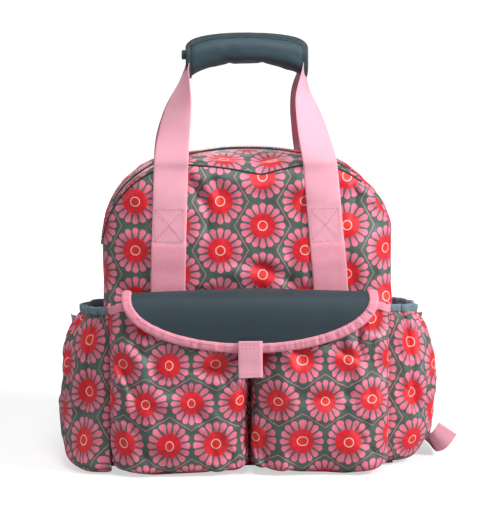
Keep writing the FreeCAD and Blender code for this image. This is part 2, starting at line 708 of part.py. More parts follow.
def strap_point(side, y, down):
    """Point on the line a strap hangs along, some way down from its top anchor."""
    lean = math.radians(size("StrapSplay"))
    x = side * (size("StrapTopX") + down * math.sin(lean))
    return Vector(x, y, size("StrapTopZ") - down * math.cos(lean))


def build_yoke():
    behind = (f"{WEBBING_Y} + Clear", f"{WEBBING_Y} + Clear + YokeThick")
    up = ("StrapTopZ - YokeTall / 2", "StrapTopZ + YokeTall / 2")
    keep(box(centred("YokeWide"), behind, up), "strap_yoke")


def build_padded_strap(name, side):
    """Padded strap bowed away from the back panel, hung from the yoke and splayed outwards."""
    body = doc.addObject("PartDesign::Body", f"shoulder_strap_{name}")
    sketch = new_sketch(body, "XY_Plane")
    rectangle(sketch, centred("StrapWide"), ("StrapRadius", "StrapRadius + StrapThick"))
    revolve(body, sketch, "2 * StrapHalfAngle")
    body.Placement.Rotation = Rotation(AXIS_Y, -side * size("StrapSplay"))
    lean = "(StrapSplay * 1deg)"
    x = f"{side} * (StrapTopX + {STRAP_HALF} * sin{lean})"
    y = f"{STRAP_Y} - StrapRadius * cos(StrapHalfAngle * 1deg)"
    bind(body, X=x, Y=y, Z=f"StrapTopZ - {STRAP_HALF} * cos{lean}")
    keep(body, f"shoulder_strap_{name}")


def build_ladder_lock(name, side):
    """Buckle frame with two slots, hung just below the padded strap."""
    body = doc.addObject("PartDesign::Body", f"ladder_lock_{name}")
    sketch = new_sketch(body, "XZ_Plane")
    rectangle(sketch, centred("LadderWide"), centred("LadderTall"))
    slot = span(1, "LadderBar / 2", "LadderTall / 2 - LadderBar")
    for up in (slot, tuple(f"-({end})" for end in slot[::-1])):
        rectangle(sketch, centred("LadderWide - 2 * LadderBar"), up)
    pad(body, sketch, "LadderThick")
    face = size(f"{STRAP_Y} + LadderThick + 2 * StrapWebThick")
    where = strap_point(side, face, size(f"2 * {STRAP_HALF} + LadderDrop"))
    body.Placement = Placement(where, Rotation(AXIS_Y, -side * size("StrapSplay")))
    keep(body, f"ladder_lock_{name}")


def build_lower_webbing(name, side):
    """Webbing from behind the buckle down to the tab at the bottom of the back panel."""
    wide, thick = size("StrapWebWide"), size("StrapWebThick")
    across = Rotation(AXIS_Y, -side * size("StrapSplay")).multVec(AXIS_X)
    end = size(f"2 * {STRAP_HALF} + 3 * StrapWebThick")
    upper = strap_point(side, size(f"{STRAP_Y} + StrapWebThick"), end)
    foot_z = size("AnchorZ + AnchorTall / 2 + StrapWebThick")
    lower = Vector(side * size("AnchorX"), size(f"{STRAP_Y} - StrapWebThick / 2"), foot_z)
    ends = [section(upper, across, AXIS_Y, wide, thick), section(lower, AXIS_X, AXIS_Y, wide, thick)]
    placed_shape(strip(ends), f"lower_webbing_{name}")
    x = span(side, "AnchorX - AnchorWide / 2", "AnchorX + AnchorWide / 2")
    y = (f"{WEBBING_Y} + Clear", f"{WEBBING_Y} + Clear + AnchorThick")
    keep(box(x, y, ("AnchorZ - AnchorTall / 2", "AnchorZ + AnchorTall / 2")), f"strap_anchor_{name}")


# Middle of a webbing tail as formulas, and the way its width runs, from its buckle to its tip.
# The left tail hangs behind the bag; the right one lies out past the bottle pocket and curls up.
TAIL_Y = f"({STRAP_Y} + LeftTailY) / 2"
TAILS = {
    "left": [
        (("-(AnchorX - LadderBar)", TAIL_Y, "TailStart"), (1, 0, 0.2)),
        (("-LeftTailX", "LeftTailY", "LeftTailZ"), (1, 0, 0.3)),
    ],
    "right": [
        (("AnchorX + 2 * LadderBar", TAIL_Y, "TailStart"), (0.8, 0, 0.5)),
        (("TailTurnX", "TailTurnY", "TailLow + LadderBar"), (0.1, 0, 1)),
        (("TailBendX", "TailBendY", "TailLow"), (0, 0.2, 1)),
        (("TailTipX", "0", "TailTipZ"), (-0.6, -0.1, 0.8)),
    ],
}


def bent_strip(stations, wide, thick, steps=6):
    """Strip along a smooth curve through stations, its width turning evenly from each to the next."""
    knots = [0]
    for (start, _), (end, _) in zip(stations, stations[1:]):
        knots.append(knots[-1] + (end - start).Length)
    curve = Part.BSplineCurve()
    curve.interpolate(Points=[centre for centre, _ in stations], Parameters=knots)
    sections = []
    for i in range(len(stations) - 1):
        for step in range(steps + (i == len(stations) - 2)):
            share = step / steps
            at = knots[i] * (1 - share) + knots[i + 1] * share
            across = stations[i][1] * (1 - share) + stations[i + 1][1] * share
            along = curve.tangent(at)[0]
            through = along.cross(across)
            sections.append(section(curve.value(at), through.cross(along), through, wide, thick))
    return Part.makeLoft(sections, True, True)


def build_tail(name, side):
    """Free end of the adjuster webbing, from the face of the buckle."""
    across = Rotation(AXIS_Y, -side * size("StrapSplay")).multVec(AXIS_X)
    buckle_front = size(f"{STRAP_Y} + LadderThick + 4 * StrapWebThick")
    stations = [(strap_point(side, buckle_front, size(f"2 * {STRAP_HALF} + LadderDrop")), across)]
    for place, width_way in TAILS[name]:
        stations.append((Vector(*[size(text) for text in place]), Vector(*width_way).normalize()))
    shape = bent_strip(stations, size("StrapWebWide"), size("StrapWebThick"))
    placed_shape(shape, f"webbing_tail_{name}")


# ---- build, check and write ------------------------------------------------------------------


def check(objects):
    """Stops on any failed object, and on any sub-part that is null, invalid or not solid."""
    doc.recompute()
    for obj in doc.Objects:
        if {"Invalid", "Error"} & set(obj.State):
            raise RuntimeError(f"{obj.Label}: {obj.State}")
    for obj in objects:
        if obj.Shape.isNull() or not obj.Shape.isValid() or not obj.Shape.Solids:
            raise RuntimeError(f"{obj.Label}: no valid solid")


build_panels()
build_base_board()
build_lining()
build_zip_tapes()
build_zip_stops()
build_zip_slider("crown", "0", CROWN_Z, "CrownRadius", "CrownSliderTurn", side=-1)
build_zip_slider("shoulder", f"-{SHOULDER_X}", SHOULDER_Z, "ShoulderRadius", "ShoulderSliderTurn", side=1)
build_front_pocket()
build_pocket_trim()
build_flap()
build_sewn_webbing()
build_handle_loop("handle_webbing_front", -1, "HandleNest")
build_handle_loop("handle_webbing_rear", 1, "-HandleNest")
build_grip()
build_yoke()
for pocket_name, pocket_side in SIDES.items():
    build_bottle_pocket(pocket_name, pocket_side)
    build_padded_strap(pocket_name, pocket_side)
    build_ladder_lock(pocket_name, pocket_side)
    build_lower_webbing(pocket_name, pocket_side)
    build_tail(pocket_name, pocket_side)

check(parts)
os.makedirs("parts", exist_ok=True)
for part in parts:
    part.Shape.exportStep(f"parts/{part.Label}.step")
    print(f"{part.Label:24s} {part.Shape.Volume / 1000:9.2f} cm3, {len(part.Shape.Solids)} solids")
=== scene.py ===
"""Diaper bag: soft pieces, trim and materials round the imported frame. Metres, +Z up, front towards -Y."""
import math

import bpy
import numpy as np
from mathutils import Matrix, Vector


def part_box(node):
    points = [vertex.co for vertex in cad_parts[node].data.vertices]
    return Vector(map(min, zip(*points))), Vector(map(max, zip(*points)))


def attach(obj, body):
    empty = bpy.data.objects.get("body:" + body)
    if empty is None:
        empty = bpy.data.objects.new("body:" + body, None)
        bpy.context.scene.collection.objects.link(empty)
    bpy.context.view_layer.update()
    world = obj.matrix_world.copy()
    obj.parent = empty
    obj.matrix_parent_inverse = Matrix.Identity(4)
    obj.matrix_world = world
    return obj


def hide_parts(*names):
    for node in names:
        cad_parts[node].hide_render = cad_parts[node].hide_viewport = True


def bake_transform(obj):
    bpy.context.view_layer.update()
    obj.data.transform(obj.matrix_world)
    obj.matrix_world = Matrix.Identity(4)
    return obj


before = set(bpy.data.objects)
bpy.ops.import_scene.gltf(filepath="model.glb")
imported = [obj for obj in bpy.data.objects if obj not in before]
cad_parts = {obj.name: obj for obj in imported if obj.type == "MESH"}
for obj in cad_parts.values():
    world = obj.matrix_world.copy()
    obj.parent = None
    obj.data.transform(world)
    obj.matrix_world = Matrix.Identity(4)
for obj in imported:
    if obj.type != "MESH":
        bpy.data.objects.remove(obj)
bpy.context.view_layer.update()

MM = 0.001
PI = math.pi
UP = np.array([0.0, 0.0, 1.0])
SIDES = {"left": -1, "right": 1}
PLACES = {"front": -1, "rear": 1}

# ---- measures taken from the frame ----

PANEL_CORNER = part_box("front_panel")[1]
HALF_WIDTH = PANEL_CORNER.x
HALF_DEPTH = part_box("back_panel")[1].y
TOP_Z = PANEL_CORNER.z
CROWN_RADIUS = 322 * MM
SHOULDER_RADIUS = 100 * MM
SHOULDER_X = HALF_WIDTH - SHOULDER_RADIUS
CROWN_Z = TOP_Z - CROWN_RADIUS
SHOULDER_Z = CROWN_Z + math.sqrt((CROWN_RADIUS - SHOULDER_RADIUS) ** 2 - SHOULDER_X**2)
LEAN = math.asin(SHOULDER_X / (CROWN_RADIUS - SHOULDER_RADIUS))

# ---- numbers: noise, easing and curves ----


def ease(t):
    t = np.clip(t, 0, 1)
    return t * t * (3 - 2 * t)


def bump(t, centre, width):
    return np.exp(-(((t - centre) / width) ** 2))


def stacked(*parts):
    """Points or pairs from coordinates that broadcast together."""
    return np.stack(np.broadcast_arrays(*parts), axis=-1)


def downward(low, high, count):
    """Evenly spaced numbers in a column."""
    return np.linspace(low, high, count)[:, None]


def sideward(low, high, count):
    """Evenly spaced numbers in a row."""
    return np.linspace(low, high, count)[None, :]


def noise(u, v, seed):
    """Smooth value noise between -1 and 1; one cell is one unit, and the seed picks the pattern."""
    u, v = np.broadcast_arrays(np.asarray(u, float), np.asarray(v, float))
    cell_u, cell_v = np.floor(u).astype(np.int64), np.floor(v).astype(np.int64)
    part_u, part_v = ease(u - cell_u), ease(v - cell_v)

    def corner(du, dv):
        mixed = (cell_u + du) * 374761393 + (cell_v + dv) * 668265263 + seed * 974634777
        mixed = (mixed ^ (mixed >> 13)) * 1274126177
        return ((mixed ^ (mixed >> 16)) & 0xFFFF) / 32767.5 - 1

    low = corner(0, 0) * (1 - part_u) + corner(1, 0) * part_u
    high = corner(0, 1) * (1 - part_u) + corner(1, 1) * part_u
    return low * (1 - part_v) + high * part_v


def folds(u, v, seed):
    """Creased noise: long rounded swells with sharper valleys."""
    return 0.65 * noise(u, v, seed) + 0.35 * (1 - 2 * np.abs(noise(2.1 * u, 2.1 * v, seed + 1)))


def creases(x, z, seed, count, low, high, depth, width=6 * MM, slant=0.5):
    """Scattered sharp folds, mostly upright, each a valley with a soft ridge beside it."""
    rng = np.random.default_rng(seed)
    low, high = np.array(low), np.array(high)
    total = 0.0
    for _ in range(count):
        centre = low + (high - low) * rng.random(2)
        angle = PI / 2 + rng.normal() * slant
        length, deep = rng.uniform(22, 55) * MM, depth * rng.uniform(0.5, 1.2)
        wide = width * rng.uniform(0.7, 1.5)
        along = (x - centre[0]) * math.cos(angle) + (z - centre[1]) * math.sin(angle)
        bend = rng.normal() * 6 * (along**2)
        off = -(x - centre[0]) * math.sin(angle) + (z - centre[1]) * math.cos(angle) + bend
        valley = np.exp(-np.abs(off) / wide)
        ridge = 0.6 * bump(off, 1.9 * wide, 1.3 * wide)
        total = total + deep * np.exp(-((along / length) ** 4)) * (ridge - valley)
    return total


def spaced(count, crowd=1.0):
    """Numbers from -1 to 1, closer together towards both ends."""
    t = np.linspace(-1, 1, count)
    return (1 - crowd) * t + crowd * np.sin(t * PI / 2)


def lengths(points):
    """Distance along a polyline to each of its points."""
    steps = np.linalg.norm(np.diff(points, axis=0), axis=1)
    return np.concatenate([[0], np.cumsum(steps)])


def picked(points, along, wanted):
    """Points of a polyline at the wanted distances along it."""
    return np.stack([np.interp(wanted, along, points[:, i]) for i in range(points.shape[1])], axis=-1)


def smooth_path(points, count, scale=1.0):
    """Catmull-Rom curve through points, sampled evenly along its length."""
    points = np.asarray(points, float) * scale
    padded = np.vstack([2 * points[0] - points[1], points, 2 * points[-1] - points[-2]])
    t = np.linspace(0, 1, 24, endpoint=False)[:, None]
    fine = []
    for a, b, c, d in zip(padded, padded[1:], padded[2:], padded[3:]):
        bent = (2 * a - 5 * b + 4 * c - d) * t**2 + (3 * b - a - 3 * c + d) * t**3
        fine.append(0.5 * (2 * b + (c - a) * t + bent))
    fine = np.vstack([*fine, points[-1:]])
    along = lengths(fine)
    return picked(fine, along, np.linspace(0, along[-1], count))


def unit(vectors):
    return vectors / np.maximum(np.linalg.norm(vectors, axis=-1, keepdims=True), 1e-12)


def outline_point(phi):
    """Point (x, z) of the body outline where its normal is (cos phi, sin phi), right side first."""
    phi = np.asarray(phi, float)
    crown = (phi > PI / 2 - LEAN) & (phi < PI / 2 + LEAN)
    centre_x = np.where(crown, 0, np.where(phi < PI / 2, SHOULDER_X, -SHOULDER_X))
    centre_z = np.where(crown, CROWN_Z, SHOULDER_Z)
    radius = np.where(crown, CROWN_RADIUS, SHOULDER_RADIUS)
    return centre_x + radius * np.cos(phi), centre_z + radius * np.sin(phi)


ARC_TURNS = np.linspace(0, PI, 2000)
ARC = lengths(stacked(*outline_point(ARC_TURNS)))


def even_turns(count):
    """Values of phi from 0 to pi, evenly spaced along the outline."""
    return np.interp(np.linspace(0, ARC[-1], count), ARC, ARC_TURNS)


def arc_length(phi):
    """Distance along the outline from its middle."""
    return np.interp(phi, ARC_TURNS, ARC) - ARC[-1] / 2


def squircle(turn, power):
    """Coordinates round a rounded rectangle, from -1 to 1."""
    c, s = np.cos(turn), np.sin(turn)
    return np.sign(c) * np.abs(c) ** (2 / power), np.abs(s) ** (2 / power)


# ---- meshes ----


def mesh_object(name, vertices, faces, coords=None):
    """Smooth mesh; coords keep the place of each vertex on its flat cloth, in metres, for the materials."""
    mesh = bpy.data.meshes.new(name)
    mesh.from_pydata(np.asarray(vertices, float).tolist(), [], [list(map(int, face)) for face in faces])
    mesh.polygons.foreach_set("use_smooth", [True] * len(mesh.polygons))
    if coords is not None:
        flat = np.zeros((len(mesh.vertices), 3), np.float32)
        flat[:, :2] = coords.reshape(-1, 2)
        layer = mesh.attributes.new("cloth", "FLOAT_VECTOR", "POINT")
        layer.data.foreach_set("vector", flat.ravel())
    obj = bpy.data.objects.new(name, mesh)
    bpy.context.scene.collection.objects.link(obj)
    return obj


def grid_faces(rows, columns, first=0):
    index = np.arange(rows * columns).reshape(rows, columns) + first
    corners = [index[:-1, :-1], index[1:, :-1], index[1:, 1:], index[:-1, 1:]]
    return np.stack([corner.ravel() for corner in corners], axis=1)


def flat_coords(points):
    """Cloth coordinates of a grid: lengths along its middle column and its middle row."""
    rows, columns = points.shape[:2]
    return stacked(lengths(points[rows // 2]), lengths(points[:, columns // 2])[:, None])


def soften(obj):
    smooth = obj.modifiers.new("Soften", "SUBSURF")
    smooth.levels = 1
    smooth.render_levels = 1


def sheet(name, points, thick, coords=None, flip=False):
    """Cloth sheet through a grid of points, with real thickness and softened by subdivision."""
    rows, columns = points.shape[:2]
    faces = grid_faces(rows, columns)
    coords = flat_coords(points) if coords is None else coords
    obj = mesh_object(name, points.reshape(-1, 3), faces[:, ::-1] if flip else faces, coords)
    solid = obj.modifiers.new("Thickness", "SOLIDIFY")
    solid.thickness = thick
    solid.offset = -1
    soften(obj)
    return obj


def keep_crisp(obj, pairs):
    """Creases the edges between pairs of vertices and their ends, so that subdivision leaves them sharp."""
    mesh = obj.data
    wanted = set(map(tuple, np.sort(pairs, axis=1).tolist()))
    edges = mesh.attributes.new("crease_edge", "FLOAT", "EDGE")
    edges.data.foreach_set("value", [float(tuple(sorted(edge.vertices)) in wanted) for edge in mesh.edges])
    ends = mesh.attributes.new("crease_vert", "FLOAT", "POINT")
    ends.data.foreach_set("value", np.isin(np.arange(len(mesh.vertices)), pairs).astype(float))


def frames_along(path, across):
    """Unit width directions and unit normals along a path, from rough width directions."""
    tangent = unit(np.gradient(path, axis=0))
    across = unit(across - tangent * np.sum(across * tangent, axis=1, keepdims=True))
    return across, np.cross(across, tangent)


def grid_tube(name, rings, along, crisp=False):
    """Tube through given rings, closed by a fan at both ends; crisp keeps the edges round the fans sharp."""
    rows, columns = rings.shape[:2]
    coords = stacked(lengths(rings[rows // 2]), along[:, None])
    faces = grid_faces(rows, columns).tolist()
    rims = []
    for row, centre, way in ((0, rows * columns, 1), (rows - 1, rows * columns + 1, -1)):
        ring = row * columns + np.arange(columns)
        rim = np.stack([ring[:-1], ring[1:]], axis=1)
        faces += [(centre, a, b)[::way] for a, b in rim]
        rims.append(rim)
    vertices = np.vstack([rings.reshape(-1, 3), rings[[0, -1], :-1].mean(axis=1)])
    obj = mesh_object(name, vertices, faces, np.vstack([coords.reshape(-1, 2), coords[[0, -1], 0]]))
    if crisp:
        keep_crisp(obj, np.vstack(rims))
    obj.modifiers.new("Weld", "WELD").merge_threshold = 0.02 * MM
    soften(obj)
    return obj


def closed_tube(name, path, across, outline):
    """Section swept along a path; outline(share, turn) gives its reach across and out in metres."""
    side, out = frames_along(path, across)
    wide, tall = outline(downward(0, 1, len(path)), sideward(0, 2 * PI, 25))
    rings = path[:, None] + side[:, None] * wide[..., None] + out[:, None] * tall[..., None]
    return grid_tube(name, rings, lengths(path))


def rounded(half_wide, half_tall, power):
    """Section outline of a rounded rectangle, in the form that closed_tube takes."""

    def outline(share, turn):
        c, s = np.cos(turn), np.sin(turn)
        reach = (np.abs(c) ** power + np.abs(s) ** power) ** (-1 / power)
        return half_wide * c * reach, half_tall * s * reach

    return outline


def ribbon(name, path, across, width, thick, crown=0.0, wave=0.0):
    """Flat webbing with rounded edges along a path; crown and wave bend it gently across and along."""
    side, out = frames_along(path, across)
    rows, columns = len(path), 9
    edge = spaced(columns, 0.5) * width / 2
    along = lengths(path)
    ripple = wave * noise(along[:, None] / (18 * MM), edge / (30 * MM) + 7, len(name))
    height = crown * (1 - (2 * edge / width) ** 2) + ripple
    half = thick / 2 * np.where(np.abs(edge) > 0.97 * width / 2, 0.45, 1.0)
    middle = path[:, None] + side[:, None] * edge[:, None]
    vertices = [middle + out[:, None] * (height + sign * half)[..., None] for sign in (1, -1)]
    far = rows * columns
    index = np.arange(far).reshape(rows, columns)
    border = np.concatenate([index[0, :-1], index[:-1, -1], index[-1, :0:-1], index[:0:-1, 0]])
    rim = np.stack([border, np.roll(border, -1)], axis=1)
    faces = [*grid_faces(rows, columns)[:, ::-1], *grid_faces(rows, columns, far)]
    faces += [(b, a, a + far, b + far) for a, b in rim]
    coords = stacked(edge, along[:, None])
    obj = mesh_object(name, np.vstack(vertices).reshape(-1, 3), faces, np.stack([coords, coords]))
    keep_crisp(obj, np.vstack([rim, rim + far]))
    soften(obj)
    return obj


def collar(base):
    """Faces between two rings of six points, the first of which starts at vertex base."""
    return [(base + k, base + (k + 1) % 6, base + 6 + (k + 1) % 6, base + 6 + k) for k in range(6)]


STITCH_PLACES = np.array([-1, -0.62, 0, 0.62, 1])
STITCH_GIRTH = np.array([0.25, 0.85, 1.0, 0.85, 0.25])
STITCH_CLIMB = np.array([-0.9, 0.25, 0.55, 0.25, -0.9])


def stitch_rows(name, lines, normals, material, body="bag", length=2.6 * MM, gap=1.1 * MM, radius=0.3 * MM):
    """Thread stitches lying on a surface along each of the lines, as one piece."""
    turn = np.linspace(0, 2 * PI, 6, endpoint=False)[:, None]
    vertices, faces = [], []
    for line in lines:
        along = lengths(line)
        ways = np.broadcast_to(np.asarray(normals, float), line.shape)
        count = max(1, int(along[-1] / (length + gap)))
        for place in (np.arange(count) + 0.5) * along[-1] / count:
            spine = picked(line, along, place + STITCH_PLACES * length / 2)
            out = unit(picked(ways, along, place))
            side = np.cross(out, unit(spine[-1] - spine[0]))
            ring = np.cos(turn) * side + np.sin(turn) * out * 0.75
            spine = spine + STITCH_CLIMB[:, None] * radius * out
            base = 30 * len(vertices)
            vertices.append((spine[:, None] + STITCH_GIRTH[:, None, None] * radius * ring).reshape(-1, 3))
            for start in range(base, base + 24, 6):
                faces += collar(start)
            faces += [base + np.arange(6)[::-1], base + 24 + np.arange(6)]
    return dress(mesh_object(name, np.vstack(vertices), faces), material, body)


# ---- cloth simulation ----

CLOTH_SETTINGS = {
    "quality": 6, "mass": 0.25, "air_damping": 3, "tension_stiffness": 12, "compression_stiffness": 12,
    "shear_stiffness": 6, "bending_stiffness": 0.3, "use_pressure": True, "vertex_group_mass": "Pins",
}


def vertex_places(mesh):
    places = np.zeros(len(mesh.vertices) * 3)
    mesh.vertices.foreach_get("co", places)
    return places.reshape(-1, 3)


def pocket_pins(rows, columns, start, soft):
    """Pin weights of a pocket, which is held along its sides, its foot and its mouth."""
    v = downward(0, 1, rows)
    ends = np.maximum(1 - v / 0.03, (v - 0.97) / 0.03)
    sides = ease((np.abs(sideward(-1, 1, columns)) - start) / soft)
    return np.clip(np.maximum(sides, ends), 0, 1).ravel()


def puff(obj, pins, pressure, grow, frames, cap):
    """Cloth simulation of a grown, pressed sheet held by its pinned vertices; returns the new points."""
    rest = vertex_places(obj.data)
    group = obj.vertex_groups.new(name="Pins")
    for i in np.flatnonzero(pins > 0.001):
        group.add([int(i)], float(pins[i]), "REPLACE")
    cloth = obj.modifiers.new("Cloth", "CLOTH")
    obj.modifiers.move(len(obj.modifiers) - 1, 0)
    for key, value in CLOTH_SETTINGS.items():
        setattr(cloth.settings, key, value)
    cloth.settings.uniform_pressure_force = pressure
    cloth.settings.shrink_min = -grow
    cloth.settings.effector_weights.gravity = 0
    cloth.collision_settings.use_collision = False
    cloth.collision_settings.use_self_collision = False
    cloth.point_cache.frame_start = 1
    cloth.point_cache.frame_end = frames
    for modifier in obj.modifiers:
        modifier.show_viewport = modifier == cloth
    scene = bpy.context.scene
    for frame_number in range(1, frames + 1):
        scene.frame_set(frame_number)
    travel = vertex_places(obj.evaluated_get(bpy.context.evaluated_depsgraph_get()).data) - rest
    obj.modifiers.remove(cloth)
    for modifier in obj.modifiers:
        modifier.show_viewport = True
    scene.frame_set(1)
    reach = np.linalg.norm(travel, axis=1, keepdims=True)
    places = rest + travel * np.minimum(1, cap / np.maximum(reach, 1e-9))
    obj.data.vertices.foreach_set("co", places.ravel())
    obj.data.update()
    return places


# ---- materials: formulas as nodes ----


def rgb(red, green, blue):
    """Linear colour from 0 to 255 display values."""
    channels = [value / 255 for value in (red, green, blue)]
    linear = [c / 12.92 if c <= 0.04045 else ((c + 0.055) / 1.055) ** 2.4 for c in channels]
    return (*linear, 1.0)


BLACK, WHITE = (0, 0, 0, 1), (1, 1, 1, 1)


class Value:
    """A number inside a node graph, so that formulas can be written plainly."""

    def __init__(self, graph, socket):
        self.graph = graph
        self.socket = socket

    def __rsub__(self, other):
        return self.graph.math("SUBTRACT", other, self)

    def step(self, low, high):
        """0 below low, 1 above high and smooth between; falls if low is above high."""
        node = self.graph.node("ShaderNodeMapRange", interpolation_type="SMOOTHSTEP")
        ends = (low, high, 0.0, 1.0) if low < high else (high, low, 1.0, 0.0)
        return self.graph.fill(node, node.inputs, (self, *ends))


def math_method(operation):
    return lambda value, *others: value.graph.math(operation, value, *others)


for method, operation in {
    "__add__": "ADD", "__radd__": "ADD", "__sub__": "SUBTRACT", "__mul__": "MULTIPLY",
    "__rmul__": "MULTIPLY", "__truediv__": "DIVIDE", "__abs__": "ABSOLUTE", "wrap": "FLOORED_MODULO",
    "sin": "SINE", "cos": "COSINE", "sqrt": "SQRT", "least": "MINIMUM", "most": "MAXIMUM",
}.items():
    setattr(Value, method, math_method(operation))


class Graph:
    """One material's node tree."""

    def __init__(self, name):
        self.material = bpy.data.materials.new(name)
        self.material.use_nodes = True
        self.tree = self.material.node_tree
        self.shader = self.tree.nodes["Principled BSDF"]

    def node(self, kind, **settings):
        made = self.tree.nodes.new(kind)
        for key, value in settings.items():
            setattr(made, key, value)
        return made

    def put(self, socket, value):
        """Links a value or an output to an input, or sets the input to a plain number or colour."""
        value = getattr(value, "socket", value)
        if isinstance(value, bpy.types.NodeSocket):
            self.tree.links.new(value, socket)
        else:
            socket.default_value = value

    def fill(self, node, sockets, values, output=0):
        for socket, value in zip(sockets, values):
            self.put(socket, value)
        return Value(self, node.outputs[output])

    def set(self, **values):
        """Sets the shader's inputs; an underscore stands for a space."""
        for key, value in values.items():
            self.put(self.shader.inputs[key.replace("_", " ")], value)

    def math(self, operation, *values):
        node = self.node("ShaderNodeMath", operation=operation)
        return self.fill(node, node.inputs, values)

    def mix(self, factor, first, second):
        node = self.node("ShaderNodeMix", data_type="RGBA")
        return self.fill(node, [node.inputs[i] for i in (0, 6, 7)], (factor, first, second), 2)

    def split(self, output):
        """The first two parts of a vector."""
        parts = self.node("ShaderNodeSeparateXYZ")
        self.put(parts.inputs[0], output)
        return Value(self, parts.outputs[0]), Value(self, parts.outputs[1])

    def place(self):
        return self.node("ShaderNodeNewGeometry").outputs["Position"]

    def cloth(self):
        """Across and along coordinates of the flat cloth, in millimetres."""
        attribute = self.node("ShaderNodeAttribute", attribute_name="cloth")
        x, y = self.split(attribute.outputs["Vector"])
        return x * 1000, y * 1000

    def noise(self, size, detail=2.0, stretch=(1, 1, 1)):
        """Noise between 0 and 1 whose lumps are about size millimetres."""
        mapping = self.node("ShaderNodeMapping")
        self.put(mapping.inputs["Scale"], stretch)
        self.put(mapping.inputs["Vector"], self.place())
        made = self.node("ShaderNodeTexNoise")
        self.put(made.inputs["Vector"], mapping.outputs[0])
        self.put(made.inputs["Scale"], 1000 / size)
        self.put(made.inputs["Detail"], detail)
        return Value(self, made.outputs[0])

    def cells(self, size):
        """Distance to the nearest random point, for crumpled foil and moulded grain."""
        made = self.node("ShaderNodeTexVoronoi")
        self.put(made.inputs["Vector"], self.place())
        self.put(made.inputs["Scale"], 1000 / size)
        return Value(self, made.outputs[0])

    def relief(self, height, depth, strength):
        """Bumps the surface by a height between 0 and 1 times depth."""
        node = self.node("ShaderNodeBump")
        self.put(node.inputs["Distance"], depth)
        self.put(node.inputs["Strength"], strength)
        self.put(node.inputs["Height"], height)
        self.put(self.shader.inputs["Normal"], node.outputs[0])


def weave(x, y, pitch):
    """Plain weave: warp and weft threads pass over each other in turn."""
    turn = PI / pitch
    warp, weft = (x * turn).sin(), (y * turn).sin()
    over = (warp * weft).step(-0.3, 0.3)
    return abs(warp) * over + abs(weft) * (1 - over)


def scaled(colour, factor):
    return tuple(min(1, channel * factor) for channel in colour[:3]) + (1,)


def tint(graph, colour, factor, low, high):
    """Colour scaled from low to high by a factor between 0 and 1."""
    return graph.mix(factor, scaled(colour, low), scaled(colour, high))


# Print: a honeycomb of round flowers, in fractions of the distance between two flowers.
PITCH = 54.2
COLUMN = math.cos(PI / 6)
DISC_EDGE, RING_AT, PETAL_AT, LINE_HALF = 0.258, 0.093, 0.4, 0.0095
PETAL_NARROW, PETAL_WIDE, SOFT = 0.024, 0.064, 0.004
PETAL_TURN = PI / 16


def nearest_flower(x, y):
    """Place measured from the nearest flower centre of the honeycomb."""
    even = ((x + COLUMN).wrap(2 * COLUMN) - COLUMN, (y + 0.5).wrap(1.0) - 0.5)
    odd = (x.wrap(2 * COLUMN) - COLUMN, y.wrap(1.0) - 0.5)
    far_even, far_odd = (a * a + b * b for a, b in (even, odd))
    pick = x.graph.math("LESS_THAN", far_odd, far_even)
    return [a + (b - a) * pick for a, b in zip(even, odd)]


def flower_print(graph, x, y, ground):
    """Colour of the printed cloth: petals, two-tone disc with a pale ring, and zigzag lines."""
    dx, dy = nearest_flower(x / PITCH, y / PITCH)
    radius = (dx * dx + dy * dy).sqrt()
    angle = graph.math("ARCTAN2", dy, dx)
    turn = (angle + PETAL_TURN).wrap(2 * PETAL_TURN) - PETAL_TURN
    out, aside = radius * turn.cos(), abs(radius * turn.sin())
    swell = ((out - DISC_EDGE) / (PETAL_AT - DISC_EDGE)).most(0.0).least(1.0)
    half = PETAL_NARROW + swell * (PETAL_WIDE - PETAL_NARROW)
    past = (out - PETAL_AT).most(0.0)
    petal = ((past * past + aside * aside).sqrt() - half).step(SOFT, -SOFT) * out.step(0.2, 0.26)
    disc = radius.step(DISC_EDGE + SOFT, DISC_EDGE - SOFT)
    crimson = (angle * 8).cos().step(-0.15, 0.15)
    ring = abs(radius - RING_AT).step(LINE_HALF + SOFT, LINE_HALF - SOFT)
    line = (0.5 - (abs(dx) * COLUMN + abs(dy) * 0.5)).step(LINE_HALF, 0.0065)
    colour = graph.mix(line, ground, rgb(190, 132, 144))
    leaf = graph.mix(swell, rgb(218, 92, 124), rgb(242, 126, 152))
    colour = graph.mix(petal, colour, leaf)
    hub = graph.mix(crimson, rgb(226, 24, 18), rgb(214, 16, 52))
    hub = graph.mix(radius.step(RING_AT + SOFT, RING_AT - SOFT), hub, rgb(228, 40, 20))
    hub = graph.mix(ring, hub, rgb(252, 196, 196))
    return graph.mix(disc, colour, hub)


def printed_fabric():
    g = Graph("printed_fabric")
    x, y = g.cloth()
    ground = tint(g, rgb(76, 95, 87), g.noise(24, 3), 0.82, 1.14)
    colour = flower_print(g, x, y, ground)
    threads = weave(x, y, 0.9)
    # Painted shade: the print darkens a little between the threads, where the weave dips.
    g.set(Base_Color=g.mix(threads * 0.14 + 0.86, BLACK, colour), Roughness=0.4 + g.noise(9, 2) * 0.14)
    g.set(Sheen_Weight=0.05, Sheen_Roughness=0.5, Specular_IOR_Level=0.5)
    g.relief(threads * 0.1 + g.noise(13, 3) * 0.8 + g.noise(4, 2) * 0.15, 1.0 * MM, 0.75)
    return g.material


def plain_fabric(name, colour, pitch=1.1, rough=0.55, sheen=0.06, crumple=0.6):
    """Woven cloth of one colour with mottling, threads and small crumples."""
    g = Graph(name)
    threads = weave(*g.cloth(), pitch)
    mottled = tint(g, colour, g.noise(16, 3), 0.82, 1.16)
    # Painted shade: the cloth darkens between the threads, where the weave dips.
    g.set(Base_Color=g.mix(threads * 0.25 + 0.75, BLACK, mottled))
    g.set(Roughness=rough + g.noise(6, 2) * 0.15, Sheen_Weight=sheen, Sheen_Roughness=0.45)
    g.relief(threads * 0.16 + g.noise(6, 3) * 0.45 + g.noise(1.8, 2) * 0.15, 0.5 * MM, crumple)
    return g.material


